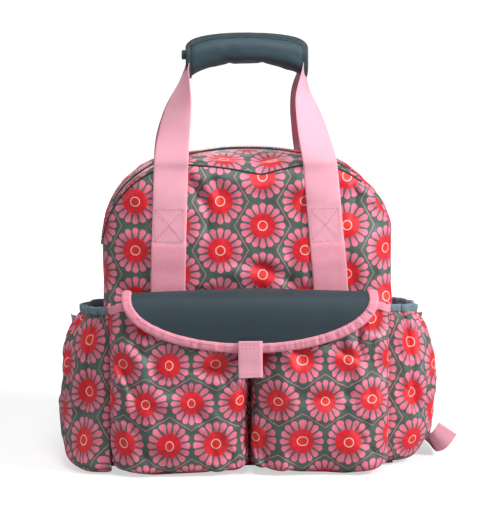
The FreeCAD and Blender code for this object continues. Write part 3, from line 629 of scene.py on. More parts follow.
def webbing(name, colour, rib=1.7, groove_shade=0.74, chevron=6.0, rough=0.0):
    """Woven tape: ribs that lean one way and then the other in lanes across its width."""
    g = Graph(name)
    x, y = g.cloth()
    lane = abs((x + chevron / 2).wrap(2 * chevron) - chevron)
    ribs = ((y + lane * 0.55) * (2 * PI / rib)).sin() * 0.5 + 0.5
    yarn = (x * (2 * PI / 0.75)).sin() * 0.5 + 0.5
    height = ribs * (0.75 - 0.4 * rough) + yarn * 0.25 + g.noise(1.6, 1) * (0.5 * rough)
    faded = tint(g, colour, g.noise(14, 3), 0.9, 1.07)
    # Painted shade: the colour is darker where the ribs and yarns dip, in the grooves between them.
    g.set(Base_Color=g.mix(height.step(0.05, 0.6), scaled(colour, groove_shade), faded))
    g.set(Roughness=0.6 + g.noise(5, 1) * 0.15, Sheen_Weight=0.12, Sheen_Roughness=0.4)
    g.relief(height + g.noise(4, 2) * 0.6, 0.28 * MM, 0.75)
    return g.material


def foil():
    g = Graph("foil_lining")
    crumple = g.cells(9) * 0.7 + g.cells(4) * 0.3
    g.set(Base_Color=tint(g, rgb(214, 216, 219), g.noise(12, 2), 0.8, 1.1), Metallic=0.92)
    g.set(Roughness=0.22 + g.noise(5, 2) * 0.25)
    g.relief(crumple + g.noise(3, 2) * 0.4, 1.2 * MM, 0.8)
    return g.material


def metal():
    g = Graph("zip_metal")
    brushed = g.noise(1.2, 3, (1, 1, 12))
    g.set(Base_Color=tint(g, rgb(176, 174, 170), brushed, 0.8, 1.1), Metallic=1.0)
    g.set(Roughness=0.24 + brushed * 0.22)
    g.relief(brushed, 0.03 * MM, 0.5)
    return g.material


def plastic(name, colour, rough=0.42, grain=0.8):
    g = Graph(name)
    speck = g.noise(grain, 2)
    g.set(Base_Color=tint(g, colour, g.noise(11, 2), 0.85, 1.15), Roughness=rough + speck * 0.2)
    g.relief(speck, 0.05 * MM, 0.5)
    return g.material


def pile(name, colour):
    """Hook-and-loop face of small tufts."""
    g = Graph(name)
    tufts = g.cells(1.3)
    # Painted shade and highlight: the colour is darker between the tufts and lighter on their tops, mixed
    # with random tone.
    g.set(Base_Color=tint(g, colour, tufts * 0.6 + g.noise(1, 2) * 0.4, 0.5, 1.3), Roughness=0.9)
    g.relief(tufts + g.noise(0.8, 2), 0.4 * MM, 0.9)
    return g.material


MATERIALS = {
    "print": printed_fabric(),
    "slate": plain_fabric("slate_fabric", rgb(50, 72, 82)),
    # Painted shade: the flap's cloth is the slate cloth in a darker colour, standing in for the shade on the
    # flap.
    "slate_flap_painted_shade": plain_fabric("slate_flap_painted_shade", rgb(37, 56, 65), rough=0.6),
    "webbing": webbing("pink_webbing", rgb(244, 172, 190), rib=1.25, groove_shade=0.86),
    "webbing_deep": webbing("pink_webbing_doubled", rgb(233, 154, 172), 1.5, 0.72, 1.5, 1.0),
    "binding": webbing("pink_binding", rgb(238, 150, 170), 1.1, 0.85, 200.0),
    "thread": plastic("pink_thread", rgb(250, 196, 208), 0.55, 0.5),
    "stitch": plastic("deep_pink_thread", rgb(206, 128, 148), 0.6, 0.5),
    # Darker slate: the grip cover's binding, and also the painted shade line in the valleys along the panel
    # seams.
    "slate_binding_and_seam_shade": plain_fabric("slate_binding_and_seam_shade", rgb(42, 60, 68), 0.9),
    "slate_thread": plastic("slate_thread", rgb(30, 42, 48), 0.6, 0.5),
    "elastic": webbing("slate_elastic", rgb(112, 138, 148), 2.2, 0.55, 400.0),
    "lining": plain_fabric("lining_fabric", rgb(132, 146, 150), 1.4, 0.5, 0.1, 0.4),
    "foil": foil(),
    "tape": webbing("zip_tape", rgb(62, 78, 76), 1.3, 0.8, 300.0),
    "coil": plastic("zip_coil", rgb(58, 72, 72), 0.35, 1.5),
    "metal": metal(),
    "plastic": plastic("buckle_plastic", rgb(44, 50, 54)),
    "pile": pile("hook_loop", rgb(50, 58, 62)),
    "board": plastic("stiffener", rgb(40, 42, 44), 0.6, 2.0),
}


def dress(obj, material, body=None, stands_for=(), inner=None):
    """Gives a piece its material and body, and hides the CAD nodes that it stands for."""
    obj.data.materials.append(MATERIALS[material])
    if inner:
        obj.data.materials.append(MATERIALS[inner])
        obj.modifiers["Thickness"].material_offset = 1
    if body:
        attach(obj, body)
    if stands_for:
        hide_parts(*stands_for)
    return obj


# ---- body shell ----

SEAM_SIDE, SEAM_TOP = 3 * MM, 7 * MM
PANEL_SAG = 15.5 * MM
SAG_X, SAG_LEFT, SAG_RIGHT = 15 * MM, 88 * MM, 55 * MM
ROLL = 5.5 * MM
BOTTOM = 3 * MM
PANEL_HALF = HALF_WIDTH - SEAM_SIDE
ZIP_HALF = 12.6 * MM
WRAP_FROM, WRAP_DEEP, WRAP_LOW, WRAP_RISE = 114 * MM, 30 * MM, 168 * MM, 46 * MM
SHELL_THICK = 1.6 * MM


def sag(x, side):
    """V-shaped dip of the front panel's top seam; the back panel hardly dips."""
    if side > 0:
        return 2 * MM * bump(x, 0, 45 * MM)
    off = x - SAG_X
    share = np.sqrt(off**2 + (3 * MM) ** 2) / np.where(off < 0, SAG_LEFT, SAG_RIGHT)
    return PANEL_SAG * np.clip(1 - share, 0, 1) ** 1.15


def wrap_share(x):
    """Quarter round of the front panel's edge: how deep it turns back, as a share, at distance x."""
    share = np.clip((np.abs(x) - WRAP_FROM) / (PANEL_HALF - WRAP_FROM), 0, 1)
    return 1 - np.sqrt(1 - 0.96 * share**2)


def wrap_rise(z):
    return ease((z - WRAP_LOW) / WRAP_RISE)


def wrap(x, z, side):
    """How far the front panel's side edges turn back above the pockets."""
    return (side < 0) * WRAP_DEEP * wrap_share(x) * wrap_rise(z)


def wrapped_length(x):
    """Extra cloth that the rounded edge takes up, out to distance x."""
    fine = np.linspace(0, PANEL_HALF, 800)
    rise = np.gradient(WRAP_DEEP * wrap_share(fine), fine)
    extra = np.cumsum(np.sqrt(1 + rise**2) - 1) * (fine[1] - fine[0])
    return np.sign(x) * np.interp(np.abs(x), fine, extra)


def seam_inset(phi):
    x, _ = outline_point(phi)
    return SEAM_SIDE + SEAM_TOP * np.clip(1 - (x / (100 * MM)) ** 2, 0, 1)


def seam_line(phi):
    """Seam between a panel and the gusset, inside the body outline, before the sag."""
    x, z = outline_point(phi)
    inset = seam_inset(phi)
    return x - inset * np.cos(phi), z - inset * np.sin(phi)


SEAM_X, SEAM_Z = seam_line(np.linspace(PI, 0, 1500))


def seam_height(x, side):
    return np.interp(x, SEAM_X, SEAM_Z) - sag(x, side)


def shoulder_crease(x, z):
    """Long fold that runs down from the top seam beside the left handle."""
    off = x + 0.046 + 0.022 * ease((z - 0.285) / 0.055)
    ridge = 2.5 * bump(off, 12 * MM, 8 * MM)
    return ease((z - 0.25) / 0.03) * (ridge - 6.5 * np.exp(-np.abs(off) / (7 * MM))) * MM


def panel_relief(x, z, side):
    """How far a panel stands out beyond the flat body depth at (x, z)."""
    top = seam_height(x, side)
    height = np.clip((z - BOTTOM) / (top - BOTTOM), 0, 1)
    far = np.abs(x)
    edge = np.minimum(PANEL_HALF - far, (top - z) * 0.8)
    roll = (1 - np.clip(edge / (11 * MM), 0, 1)) ** 2.2
    crown = (1 - np.clip(far / PANEL_HALF, 0, 1) ** 3) * (1 - np.abs(2 * height - 1) ** 3)
    free = ease(edge / (14 * MM))
    swell = 4.4 * folds(x / (74 * MM) + 0.3, z / (58 * MM), 11) * MM
    crease = 2.0 * folds((x + 0.5 * z) / (31 * MM), (z - 0.6 * x) / (44 * MM), 23) * MM
    crease = crease + creases(x, z, 5, 14, (-0.15, 0.19), (0.15, 0.34), 4.6 * MM) * free
    crease = crease + shoulder_crease(x, z)
    tug = bump(far, 66 * MM, 9 * MM) + bump(far, 111 * MM, 9 * MM)
    pucker = 0.8 * MM * noise(z / (13 * MM), x / (40 * MM), 31) * tug
    gather = 0.9 * MM * noise(x / (12 * MM), 0.4, 37) * bump(edge, 0, 13 * MM)
    pressed = 1 - 0.85 * np.exp(-(((far - 88.5 * MM) / (24 * MM)) ** 6))
    relief = free * pressed * (swell + crease + pucker) + gather * (1 - roll)
    return 5.5 * MM * crown - ROLL * roll + relief - wrap(x, z, side)


def panel_point(x, z, side, lift=0.0):
    return stacked(x, side * (HALF_DEPTH + panel_relief(x, z, side) + lift), z)


def panel_grid(side):
    """Points and cloth coordinates of a panel, closer together towards its edges."""
    x = PANEL_HALF * spaced(131, 0.75)
    z = BOTTOM + (spaced(111, 0.6)[:, None] + 1) / 2 * (seam_height(x, side) - BOTTOM)
    across = x + wrapped_length(x) * wrap_rise(z)
    return panel_point(x, z, side), stacked(across + 31.8 * MM, z - 246.6 * MM)


def gusset_point(phi, depth, side, drop=0.0):
    """Point of the gusset: phi round the outline, depth 0 at the panel seam and 1 at the zip."""
    x, z = outline_point(phi)
    inset = seam_inset(phi) * (1 - depth) ** 1.7 + drop
    dip = sag(x, side) * (1 - depth) ** 1.6
    seam_y = HALF_DEPTH - ROLL - wrap(*seam_line(phi), side)
    y = side * (seam_y * (1 - depth) + ZIP_HALF * depth)
    return stacked(x - inset * np.cos(phi), y, z - inset * np.sin(phi) - dip)


def gusset_relief(along, depth, seed):
    """Soft folds of the gusset, out from the body."""
    swell = 2.6 * folds(along / (48 * MM), depth * 1.6 + 0.2, seed) * MM
    gather = 0.9 * noise(along / (11 * MM), 0.3, seed + 2) * bump(depth, 0, 0.16) * MM
    return (swell - 0.8 * MM) * np.sin(depth * PI) ** 0.7 + gather


def top_gusset(side, name):
    phi = even_turns(181)[None, :]
    depth = downward(0, 1, 33) ** 1.4
    along = arc_length(phi)
    rise = ease((outline_point(phi)[1] - SHOULDER_Z) / (34 * MM))
    swell = gusset_relief(along, depth, 41 + side) + 3.2 * MM * bump(depth, 0.17, 0.12)
    drop = 1.2 * MM * (depth**8 * rise + 1 - rise) - swell * rise * ease(depth / 0.05)
    points = gusset_point(phi, depth, side, np.minimum(drop, 6 * MM))
    coords = stacked(HALF_DEPTH * depth * 0.9 - 19 * MM, 27.5 * MM - along)
    obj = sheet(name + "_cloth", points, SHELL_THICK, coords, flip=side > 0)
    dress(obj, "print", "bag", [name], inner="lining")


def side_gusset(side, name):
    """Side of the body from seam to seam, between the base and the top gusset."""
    share = spaced(41, 0.7)
    z = downward(BOTTOM, SHOULDER_Z, 61)
    y = share * (HALF_DEPTH - 2 * MM - wrap(PANEL_HALF, z, np.sign(share)))
    depth = 1 - np.abs(share)
    inset = SEAM_SIDE * (1 - depth) ** 1.7 + 1.2 * MM
    relief = 1.6 * MM * folds(z / (60 * MM), y / (50 * MM), 51 + side) * np.sin(depth * PI / 2)
    relief = relief * ease((SHOULDER_Z - z) / (34 * MM))
    slump = 3 * MM * np.sin(np.clip(z / SHOULDER_Z, 0, 1) * PI) * depth
    x = side * (HALF_WIDTH - inset + np.minimum(relief, 1 * MM) - slump)
    coords = stacked(y + 0.02, z + side * 0.011)
    obj = sheet(name + "_cloth", stacked(x, y, z), SHELL_THICK, coords, flip=side > 0)
    dress(obj, "print", "bag", [name], inner="lining")


def build_shell():
    """Panels, gussets and base."""
    panels = ((-1, "front_panel", "print", "main_lining"), (1, "back_panel", "slate", "back_foam_pad"))
    for side, name, material, hidden in panels:
        points, coords = panel_grid(side)
        obj = sheet(name + "_cloth", points, 2.2 * MM, coords, flip=side < 0)
        dress(obj, material, "bag", [name, hidden], inner="lining")
    for place, side in PLACES.items():
        top_gusset(side, "top_gusset_" + place)
    for label, side in SIDES.items():
        side_gusset(side, "side_gusset_" + label)
    x = (HALF_WIDTH - 2 * MM) * spaced(61)
    y = (HALF_DEPTH - 2 * MM) * spaced(31)[:, None]
    z = 1.6 * MM + 1.2 * MM * (np.abs(x / HALF_WIDTH) ** 8 + np.abs(y / HALF_DEPTH) ** 8)
    z = z + 0.35 * MM * noise(x / (28 * MM), y / (28 * MM), 61)
    base = sheet("base_panel_cloth", stacked(x, y, z), 1.4 * MM, flip=True)
    dress(base, "slate", "bag", ["base_panel"])


def seam_shade_lines():
    """Painted shade: a dark tube laid in the valley along the top seam of each panel, standing in for the
    shade that falls there.
    """
    for place, side in PLACES.items():
        turns = even_turns(300)[60 if side < 0 else 8 : -8]
        path = gusset_point(turns, 0.0, side) + np.array([0, side * 0.7, 0]) * MM
        shade_line = closed_tube(f"seam_shade_line_{place}", path, (0, 1, 0), rounded(1 * MM, 1 * MM, 2))
        dress(shade_line, "slate_binding_and_seam_shade", "bag")


# ---- handles: sewn webbing, free limbs and the padded grip ----

WEB_WIDE, WEB_THICK = 38 * MM, 1.6 * MM
SEWN_TOP, BEND_TOP = 330 * MM, 376 * MM
BOX_LOW, BOX_HIGH = 257 * MM, 293 * MM
LIMB_ROUTES = {
    "left": ((-91.5, 20), (-91, 120), (-90, 202), (-88.5, 260), (-86, 334)),
    "right": ((91, 20), (91, 120), (90.6, 202), (86, 260), (79.5, 334)),
}
LIMB_FREE = {
    "left": ((-85.4, -69, 347), (-83, -55, 370), (-76, -27, 410), (-70, -12, 436), (-65.5, -6, 452),
             (-60, -3, 461)),
    "right": ((78, -69, 347), (73.5, -55, 370), (66.5, -27, 410), (65.5, -12, 436), (64, -6, 452),
              (59, -3, 461)),
}
TWIST_HEIGHTS = np.array([325, 345, 370, 392, 412, 428, 445, 470]) * MM
TWIST_DEGREES = (0, 4, 21, 38, 56, 74, 88, 90)
BOX_ROWS = ((-1, 0, -1, 1), (-1, 1, 1, 1), (1, 1, 1, 0), (1, 0, -1, 0), (-1, 0, 1, 1), (1, 0, -1, 1))


def averaged(values, mode, **options):
    """Running mean over nine values."""
    return np.convolve(np.pad(values, 4, mode=mode, **options), np.ones(9) / 9, mode="valid")


def limb_path(name, side):
    """Centre line of one webbing limb from low on its panel to inside the grip."""
    x, z = smooth_path(LIMB_ROUTES[name], 60, MM).T
    low = panel_point(x, z, side, 1.6 * MM)
    free = np.array(LIMB_FREE[name]) * (MM, -side * MM, MM)
    return smooth_path(np.vstack([low[::6], low[-1:], free]), 150)


def limb_across(path, side):
    """Width runs along X at the panel and turns a quarter by the grip, most of it near the top."""
    x, height = path[:, 0], path[:, 2]
    turn = averaged(np.radians(np.interp(height, TWIST_HEIGHTS, TWIST_DEGREES)), "edge")
    way = np.where(x < 0, 1, -1) * side
    half = WEB_WIDE / 2
    rise = panel_relief(x + half, height, side) - panel_relief(x - half, height, side)
    lean = side * np.where(height < SEWN_TOP, rise / WEB_WIDE, 0) * (1 - ease((height - 0.30) / 0.03))
    return stacked(np.cos(turn), way * np.sin(turn) + lean, 0)


def box_stitches(name, centre, side, lift):
    """Box with a cross, sewn through the webbing."""
    half = WEB_WIDE / 2 - 3 * MM
    t = np.linspace(0, 1, 16)
    lines = []
    for x0, z0, x1, z1 in BOX_ROWS:
        z = BOX_LOW + (BOX_HIGH - BOX_LOW) * (z0 + (z1 - z0) * t)
        lines.append(panel_point(half * (x0 + (x1 - x0) * t) + np.interp(z, *centre), z, side, lift))
    stitch_rows(name, lines, (0, side, 0), "stitch", length=2.2 * MM, gap=1.4 * MM)


def build_handles():
    z = np.linspace(14 * MM, BOX_LOW, 60)
    lift = (3.2 - 2.4 * ease((z - 0.251) / 0.008)) * MM
    for place, side in PLACES.items():
        for name in SIDES:
            path = limb_path(name, side)
            across = limb_across(path, side)
            label = f"{place}_handle_limb_{name}"
            limb = ribbon(label, path, across, WEB_WIDE, WEB_THICK, crown=0.5 * MM, wave=0.5 * MM)
            dress(limb, "webbing", None, [f"{place}_webbing_{name}", f"handle_webbing_{place}"])
            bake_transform(limb)
            centre = (path[:, 2], path[:, 0])
            low = panel_point(np.interp(z, *centre), z, side, lift)
            label = f"{place}_doubled_webbing_{name}"
            doubled = ribbon(label, low, (1, 0, 0), WEB_WIDE + 0.6 * MM, 1.4 * MM, wave=0.4 * MM)
            dress(doubled, "webbing_deep", "bag")
            box_stitches(f"{place}_box_stitch_{name}", centre, side, 3.5 * MM)


GRIP_HALF, COVER_HALF = 67 * MM, 65 * MM
COVER_LOW = math.radians(-106)


def grip_point(x, turn, grow=0.0):
    """Point round the grip at x; turn is 0 in front, a quarter at the top and a half at the rear."""
    share = np.abs(x) / GRIP_HALF
    centre = (466.2 - 13 * share**2.6) * MM
    wide, tall = rounded(24.6 * MM + grow, (14.6 + 5 * share**3) * MM + grow, 2.5)(share, turn)
    below = np.clip(-np.sin(turn), 0, 1)
    crease = 1 + 0.05 * noise(x / (11 * MM), turn * 1.2 + 5, 71) * (0.3 + below)
    pinch = 1 - 0.09 * (bump(x, -19 * MM, 3 * MM) + bump(x, 18 * MM, 3 * MM)) * below**2
    draw = 1 - 0.3 * np.exp(-np.maximum(GRIP_HALF + 1 * MM - np.abs(x), 0) / (3 * MM))
    return stacked(x, -wide * draw, centre + tall * crease * pinch * draw)


def cover_top(x):
    """Where the closing cover ends near the top of the grip."""
    return math.radians(62) - math.radians(16) * (np.abs(x) / COVER_HALF) ** 10


def build_grip():
    """Padded core, and the cover that closes round its front, with a bound edge and stitches."""
    rings = grip_point(GRIP_HALF * spaced(61, 0.6)[:, None], sideward(0, 2 * PI, 41))
    core = grid_tube("grip_core", rings, lengths(rings[:, 0]), crisp=True)
    dress(core, "slate", "handle", ["grip_pad"])
    roll = stacked(np.linspace(-73, -60, 9), -6, 459.5) * MM
    inner = closed_tube("grip_inner_roll", roll, (0, 1, 0), rounded(9 * MM, 5.5 * MM, 2.2))
    dress(inner, "slate", "handle")
    x = COVER_HALF * spaced(81, 0.6)[:, None]
    share = sideward(0, 1, 41)
    wrinkle = noise(x / (34 * MM), share * 4.4, 77)
    wrinkle = wrinkle + 0.5 * noise((x + share * 0.03) / (12 * MM), share * 3, 79)
    grow = (2.4 + 1.1 * wrinkle * np.clip(6 * share, 0, 1) * np.clip(8 * (1 - share), 0, 1)) * MM
    cover = grip_point(x, COVER_LOW + share * (cover_top(x) - COVER_LOW), grow)
    dress(sheet("grip_cover_cloth", cover, 1.8 * MM), "slate", "grip_wrap", ["grip_cover"], inner="lining")
    border = smooth_path(np.vstack([cover[0, 4:], cover[1:-1, -1], cover[-1, :3:-1]])[::3], 200)
    away = unit((border - (0, 0, 452 * MM)) * (0, 1, 1))
    rim = closed_tube("grip_cover_binding", border, away, rounded(2.0 * MM, 3.6 * MM, 2.6))
    dress(rim, "slate_binding_and_seam_shade", "grip_wrap")
    line = smooth_path(np.vstack([cover[4, 6:-4], cover[5:-5, -5], cover[-5, -5:5:-1]])[::3], 200)
    out = unit((line - (0, 0, 460 * MM)) * (0, 1, 1))
    line = line + out * 0.4 * MM
    stitch_rows("grip_cover_stitches", [line], out, "slate_thread", "grip_wrap", radius=0.5 * MM)


# ---- front pocket ----

POCKET_BACK = HALF_DEPTH + 0.6 * MM
POCKET_DEEP = 44 * MM
POCKET_IN, POCKET_OUT = 1.5 * MM, 155 * MM
POCKET_LOW, POCKET_HIGH = 0.8 * MM, 187 * MM
POCKET_TALL = POCKET_HIGH - POCKET_LOW
HEEL, HEEL_SHARE = 10 * MM, 0.24
PRINT_ORIGINS = {"left": (127, -90.6), "right": (131, 109.4)}


def bellows_grid(side):
    """One half of the front pocket: pleated at both sides, rounded below, open at the mouth."""
    share, depth = squircle(sideward(PI, 0, 97), 5.0)
    v = downward(0, 1, 91)
    lower = np.clip(v / HEEL_SHARE, 0, 1)
    straight = HEEL + (v - HEEL_SHARE) / (1 - HEEL_SHARE) * (POCKET_TALL - HEEL)
    height = np.where(v < HEEL_SHARE, HEEL * (1 - np.cos(lower * PI / 2)), straight)
    belly = np.sin(lower * PI / 2) ** 0.9
    waist = 1 - 0.10 * ease((v - 0.62) / 0.38) + 0.05 * bump(v, 0.42, 0.2)
    middle = side * (POCKET_IN + POCKET_OUT) / 2
    half = (POCKET_OUT - POCKET_IN) / 2 * (1 - 0.05 * (1 - lower) ** 3)
    x = middle + half * share
    foot = POCKET_LOW + 6 * MM * np.abs(share) ** 6 + 1.5 * MM * noise(share * 3, 0.5, 81 + side)
    mouth = POCKET_HIGH + 3 * MM * share**2 - 6 * MM * ease((side * share - 0.8) / 0.2)
    z = foot + height / POCKET_TALL * (mouth - foot)
    relief = 5.4 * folds(share * 1.7 + side, v * 3.1, 83 + side)
    relief = relief + 2.8 * folds(share * 4.1, v * 6.3 + side, 89)
    relief = relief + 3.2 * noise(share * 9, 0.3, 91 + side) * bump(v, 0, 0.3)
    relief = relief + 1.2 * noise(share * 9, 0.7, 97 + side) * bump(v, 1, 0.12)
    relief = relief + 1.5 * noise(v * 14, share * 2, 99 + side) * (np.abs(share) > 0.6) * share**4
    spread = half.max() * 0.85
    low, high = (middle - spread, 0.02), (middle + spread, 0.165)
    relief = relief + creases(x, z, 17 + side, 18, low, high, 5.0, slant=0.6)
    calm = ease(depth * 1.5 - 0.4) * (1 - 0.7 * ease((v - 0.8) / 0.2)) * MM
    reach = belly * (POCKET_DEEP * depth * waist + relief * calm)
    reach = np.minimum(reach, (56 - 14 * ease((v - 0.7) / 0.2)) * MM)
    return stacked(x, -POCKET_BACK - reach, z)


def build_front_pocket(name, side):
    """Half of the front pocket with its bound mouth; returns the points of its cloth."""
    start = bellows_grid(side)
    rows, columns = start.shape[:2]
    row, column = int(rows * 0.68), columns // 2
    up, across = PRINT_ORIGINS[name]
    flat = flat_coords(start)
    flat = flat - flat[row, column] + start[row, column, ::2] - np.array([across, up]) * MM
    obj = sheet(f"pocket_bellows_{name}_cloth", start, 1.6 * MM, flat[..., ::-1], flip=True)
    cloth = puff(obj, pocket_pins(rows, columns, 0.9, 0.06), 2.2, 0.02, 14, 5 * MM).reshape(start.shape)
    dress(obj, "print", "bag", [f"pocket_bellows_{name}"], inner="lining")
    edge = cloth[-1]
    rim = closed_tube(f"pocket_mouth_binding_{name}", edge, UP, rounded(4.5 * MM, 1.7 * MM, 3.0))
    dress(rim, "binding", "bag", ["pocket_mouth_binding"])
    out = np.cross(unit(np.gradient(edge, axis=0)), UP)
    line = edge - 3 * MM * UP + out * 1.6 * MM
    stitch_rows(f"pocket_mouth_stitches_{name}", [line[6:-6]], out[6:-6], "thread")
    return cloth


def build_loop_tape(name, side, cloth):
    """Loop tape sewn to half of the pocket, following its bulge."""
    z = np.linspace(144, 166, 9) * MM
    x = side * np.linspace(9, 35, 15)[::side] * MM
    depths = np.array([np.interp(x, row[:, 0], row[:, 1]) for row in cloth])
    heights = np.array([np.interp(x, row[:, 0], row[:, 2]) for row in cloth])
    y = stacked(*(np.interp(z, *column) for column in zip(heights.T, depths.T)))
    tape = sheet(f"loop_tape_{name}", stacked(x, y - 0.9 * MM, z[:, None]), 1.2 * MM)
    dress(tape, "pile", "bag", ["loop_patch"])


# ---- flap ----

FLAP_PROFILE = smooth_path([(0, -74.5, 205.5), (0, -92, 204.5), (0, -106, 201), (0, -114.5, 193),
                            (0, -119.5, 178), (0, -121, 160), (0, -121.5, 138)], 160, MM)[::-1]
FLAP_HALF = 133 * MM
FLAP_WAIST = 199 * MM


def flap_surface(x, z):
    """Point of the flap at height z, with soft waves that die out towards its root."""
    reach = np.clip((205 * MM - z) / (66 * MM), 0, 1)
    wave = 1.6 * noise(x / (52 * MM), z / (60 * MM), 103) + 2.2 * (x / (140 * MM)) ** 2 - 0.8
    return stacked(x, np.interp(z, FLAP_PROFILE[:, 2], FLAP_PROFILE[:, 1]) - wave * reach * MM, z)


def flap_edge(turn, inset):
    """Line on the flap, an inset distance inside its outline; turn runs from the left root to the right."""
    wide, tall = 140 * MM - inset, 59 * MM - inset
    return flap_surface(wide * np.sin(turn), FLAP_WAIST - tall * np.cos(turn))


def puckered(share, angle):
    """Section of the flap's binding, gathered by its stitches."""
    pleat = noise(share * 74, 0.4, 107) * 0.75 + noise(share * 150, 0.8, 109) * 0.5
    wide, tall = rounded(5.3 * MM, 2.3 * MM, 2.6)(share, angle)
    return wide * (1 + 0.05 * pleat), tall * (1 + 0.42 * pleat * np.clip(np.sin(angle) + 0.4, 0, 1.4))


def build_flap():
    x = FLAP_HALF * spaced(91, 0.85)
    low = FLAP_WAIST - 52 * MM * np.sqrt(1 - (x / (FLAP_HALF + 0.5 * MM)) ** 2)
    top = 205.4 * MM - 1.8 * MM * (x / FLAP_HALF) ** 2
    flap = sheet("flap_cloth", flap_surface(x, top + (low - top) * downward(0, 1, 41)), 2.4 * MM)
    # The flap's darker slate is painted shade.
    dress(flap, "slate_flap_painted_shade", None, ["flap_panel"])
    turn = np.linspace(-1.66, 1.66, 240)
    inner, outer = flap_edge(turn, 9 * MM), flap_edge(turn, 0)
    middle = (inner + outer) / 2
    binding = closed_tube("flap_binding_cloth", middle, outer - inner, puckered)
    dress(binding, "binding", None, ["flap_binding"])
    out = unit(np.cross(outer - inner, np.gradient(middle, axis=0)))
    out *= np.sign(1e-9 - out[:, 1:2])
    line = flap_edge(turn, 7.4 * MM) + out * 2.7 * MM
    sewn = stitch_rows("flap_stitches", [line], out, "thread", None, radius=0.36 * MM)
    for piece in (flap, binding, sewn):
        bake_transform(piece)


def build_pull_tab():
    path = smooth_path([(-0.8, -124.6, 153.5), (-0.8, -125.4, 147), (-0.8, -125.6, 138), (-0.6, -125, 126),
                        (-0.2, -125.8, 113)], 24, MM)
    tab = ribbon("flap_pull_tab_webbing", path, (1, 0, -0.02), 26.5 * MM, 2.2 * MM, wave=0.3 * MM)
    dress(tab, "webbing", "flap", ["flap_pull_tab"])
    x = np.linspace(-11.5, 10, 14)
    lines = [stacked(x, -126.6, height) * MM for height in (151.5, 149.6, 145.5, 142, 138.5, 117)]
    stitch_rows("flap_tab_stitches", lines, (0, -1, 0), "stitch", "flap", radius=0.28 * MM)


# ---- side pockets ----

SIDE_PRINT = {"left": (-9, 143), "right": (11, 137)}
SIDE_REACH = {
    -1: ((2, 12, 45, 65, 90, 134, 155, 169), (33, 45, 49, 48, 45, 41, 32, 20)),
    1: ((2, 11, 31, 46, 82, 118, 152, 169), (28, 37, 51, 55, 54, 51, 44, 29)),
}
SIDE_LOW, SIDE_TALL = 0.8, 165.2


def side_pocket_grid(side, inward=0.0, columns=133, rows=91, gathers=1.0):
    """Bottle pocket: full below, drawn in by its elastic, open at the mouth."""
    turn = sideward(0, PI, columns)
    v = downward(0, 1, rows)
    power = 2.5 + (2.5 * bump(v, 0, 0.22) if side < 0 else 0)
    along, out = squircle(turn, power)
    along = -along
    ahead = np.clip(-along, 0, 1)
    z = (SIDE_LOW + (SIDE_TALL + 11 * ahead**2 * ease((v - 0.5) / 0.5)) * v**1.15) * MM
    reach = np.interp(SIDE_LOW + SIDE_TALL * v[:, 0] ** 1.15, *SIDE_REACH[side]) * MM
    reach = averaged(reach, "reflect", reflect_type="odd")[:, None]
    foot = 1 - (0.12 if side < 0 else 0.3) * (1 - np.clip(v / 0.1, 0, 1)) ** 2
    draw = ease((v - 0.7) / 0.3)
    sagging = 19 + 24 * bump(v, 0, 0.3) if side < 0 else 10 * (1 + 0.4 * bump(v, 0.2, 0.25))
    half = 62 * MM + sagging * MM * ahead**2
    half = half * (1 - (0.2 - 0.17 * (along < -0.9)) * draw) * foot - inward
    pleats = noise(turn * 9.3, 0.3, 113 + side) + 0.8 * noise(turn * 19, 0.6, 117 + side)
    slack = 3.6 * folds(turn * 1.9 + side, v * 3.2, 119 + side)
    slack = slack + 1.8 * folds(turn * 4.4, v * 5.5, 127 + side)
    sharp = creases(turn * 0.055 + 0 * v, z, 29 + side, 14, (0.01, 0.02), (0.16, 0.15), 3.6, 5 * MM)
    tuck = 0.45 + 0.06 * np.sin(v * 5)
    valley = -13 * bump(turn, tuck, 0.09) * ease((v - 0.2) / 0.4) + 4 * bump(turn, tuck + 0.19, 0.1) * v
    gathered = valley + 4.4 * pleats * np.exp(-(((1 - v) / 0.24) ** 1.5)) + sharp + slack * (1 - 0.7 * draw)
    lift = (gathers * gathered - 1.2) * np.clip(v / 0.1, 0, 1)
    lift = np.clip(lift, -12, 4.5) * MM * out
    x = side * (HALF_WIDTH - 2 * MM - 8 * MM * ahead**8 + (reach - inward) * out + lift * out)
    return stacked(x, half * along + lift * along * 0.8, z)


def build_side_pocket(name, side):
    start = side_pocket_grid(side)
    rows, columns = start.shape[:2]
    flat = flat_coords(start)
    across, up = SIDE_PRINT[name]
    flat = (flat - flat[rows // 2, columns // 2]) * (side, 1) + (0, start[rows // 2, 0, 2])
    coords = flat - np.array([across, up]) * MM
    obj = sheet(f"side_pocket_{name}_cloth", start, 1.4 * MM, coords, flip=side > 0)
    cloth = puff(obj, pocket_pins(rows, columns, 0.93, 0.05), 2.0, 0.015, 12, 4 * MM).reshape(start.shape)
    dress(obj, "print", "bag", [f"side_pocket_{name}"], inner="lining")
    inner = side_pocket_grid(side, 4.5 * MM, 61, 41, 0.7)
    crinkle = 0.9 * noise(np.arange(61) * 0.9, np.arange(41)[:, None] * 0.8, 131 + side)
    inner[..., 0] += side * (crinkle - 1.5) * MM
    lining = sheet(f"bottle_lining_{name}_foil", inner, 0.5 * MM, flip=side < 0)
    dress(lining, "foil", "bag", [f"bottle_lining_{name}"])
    build_elastic(name, side, cloth[-1])


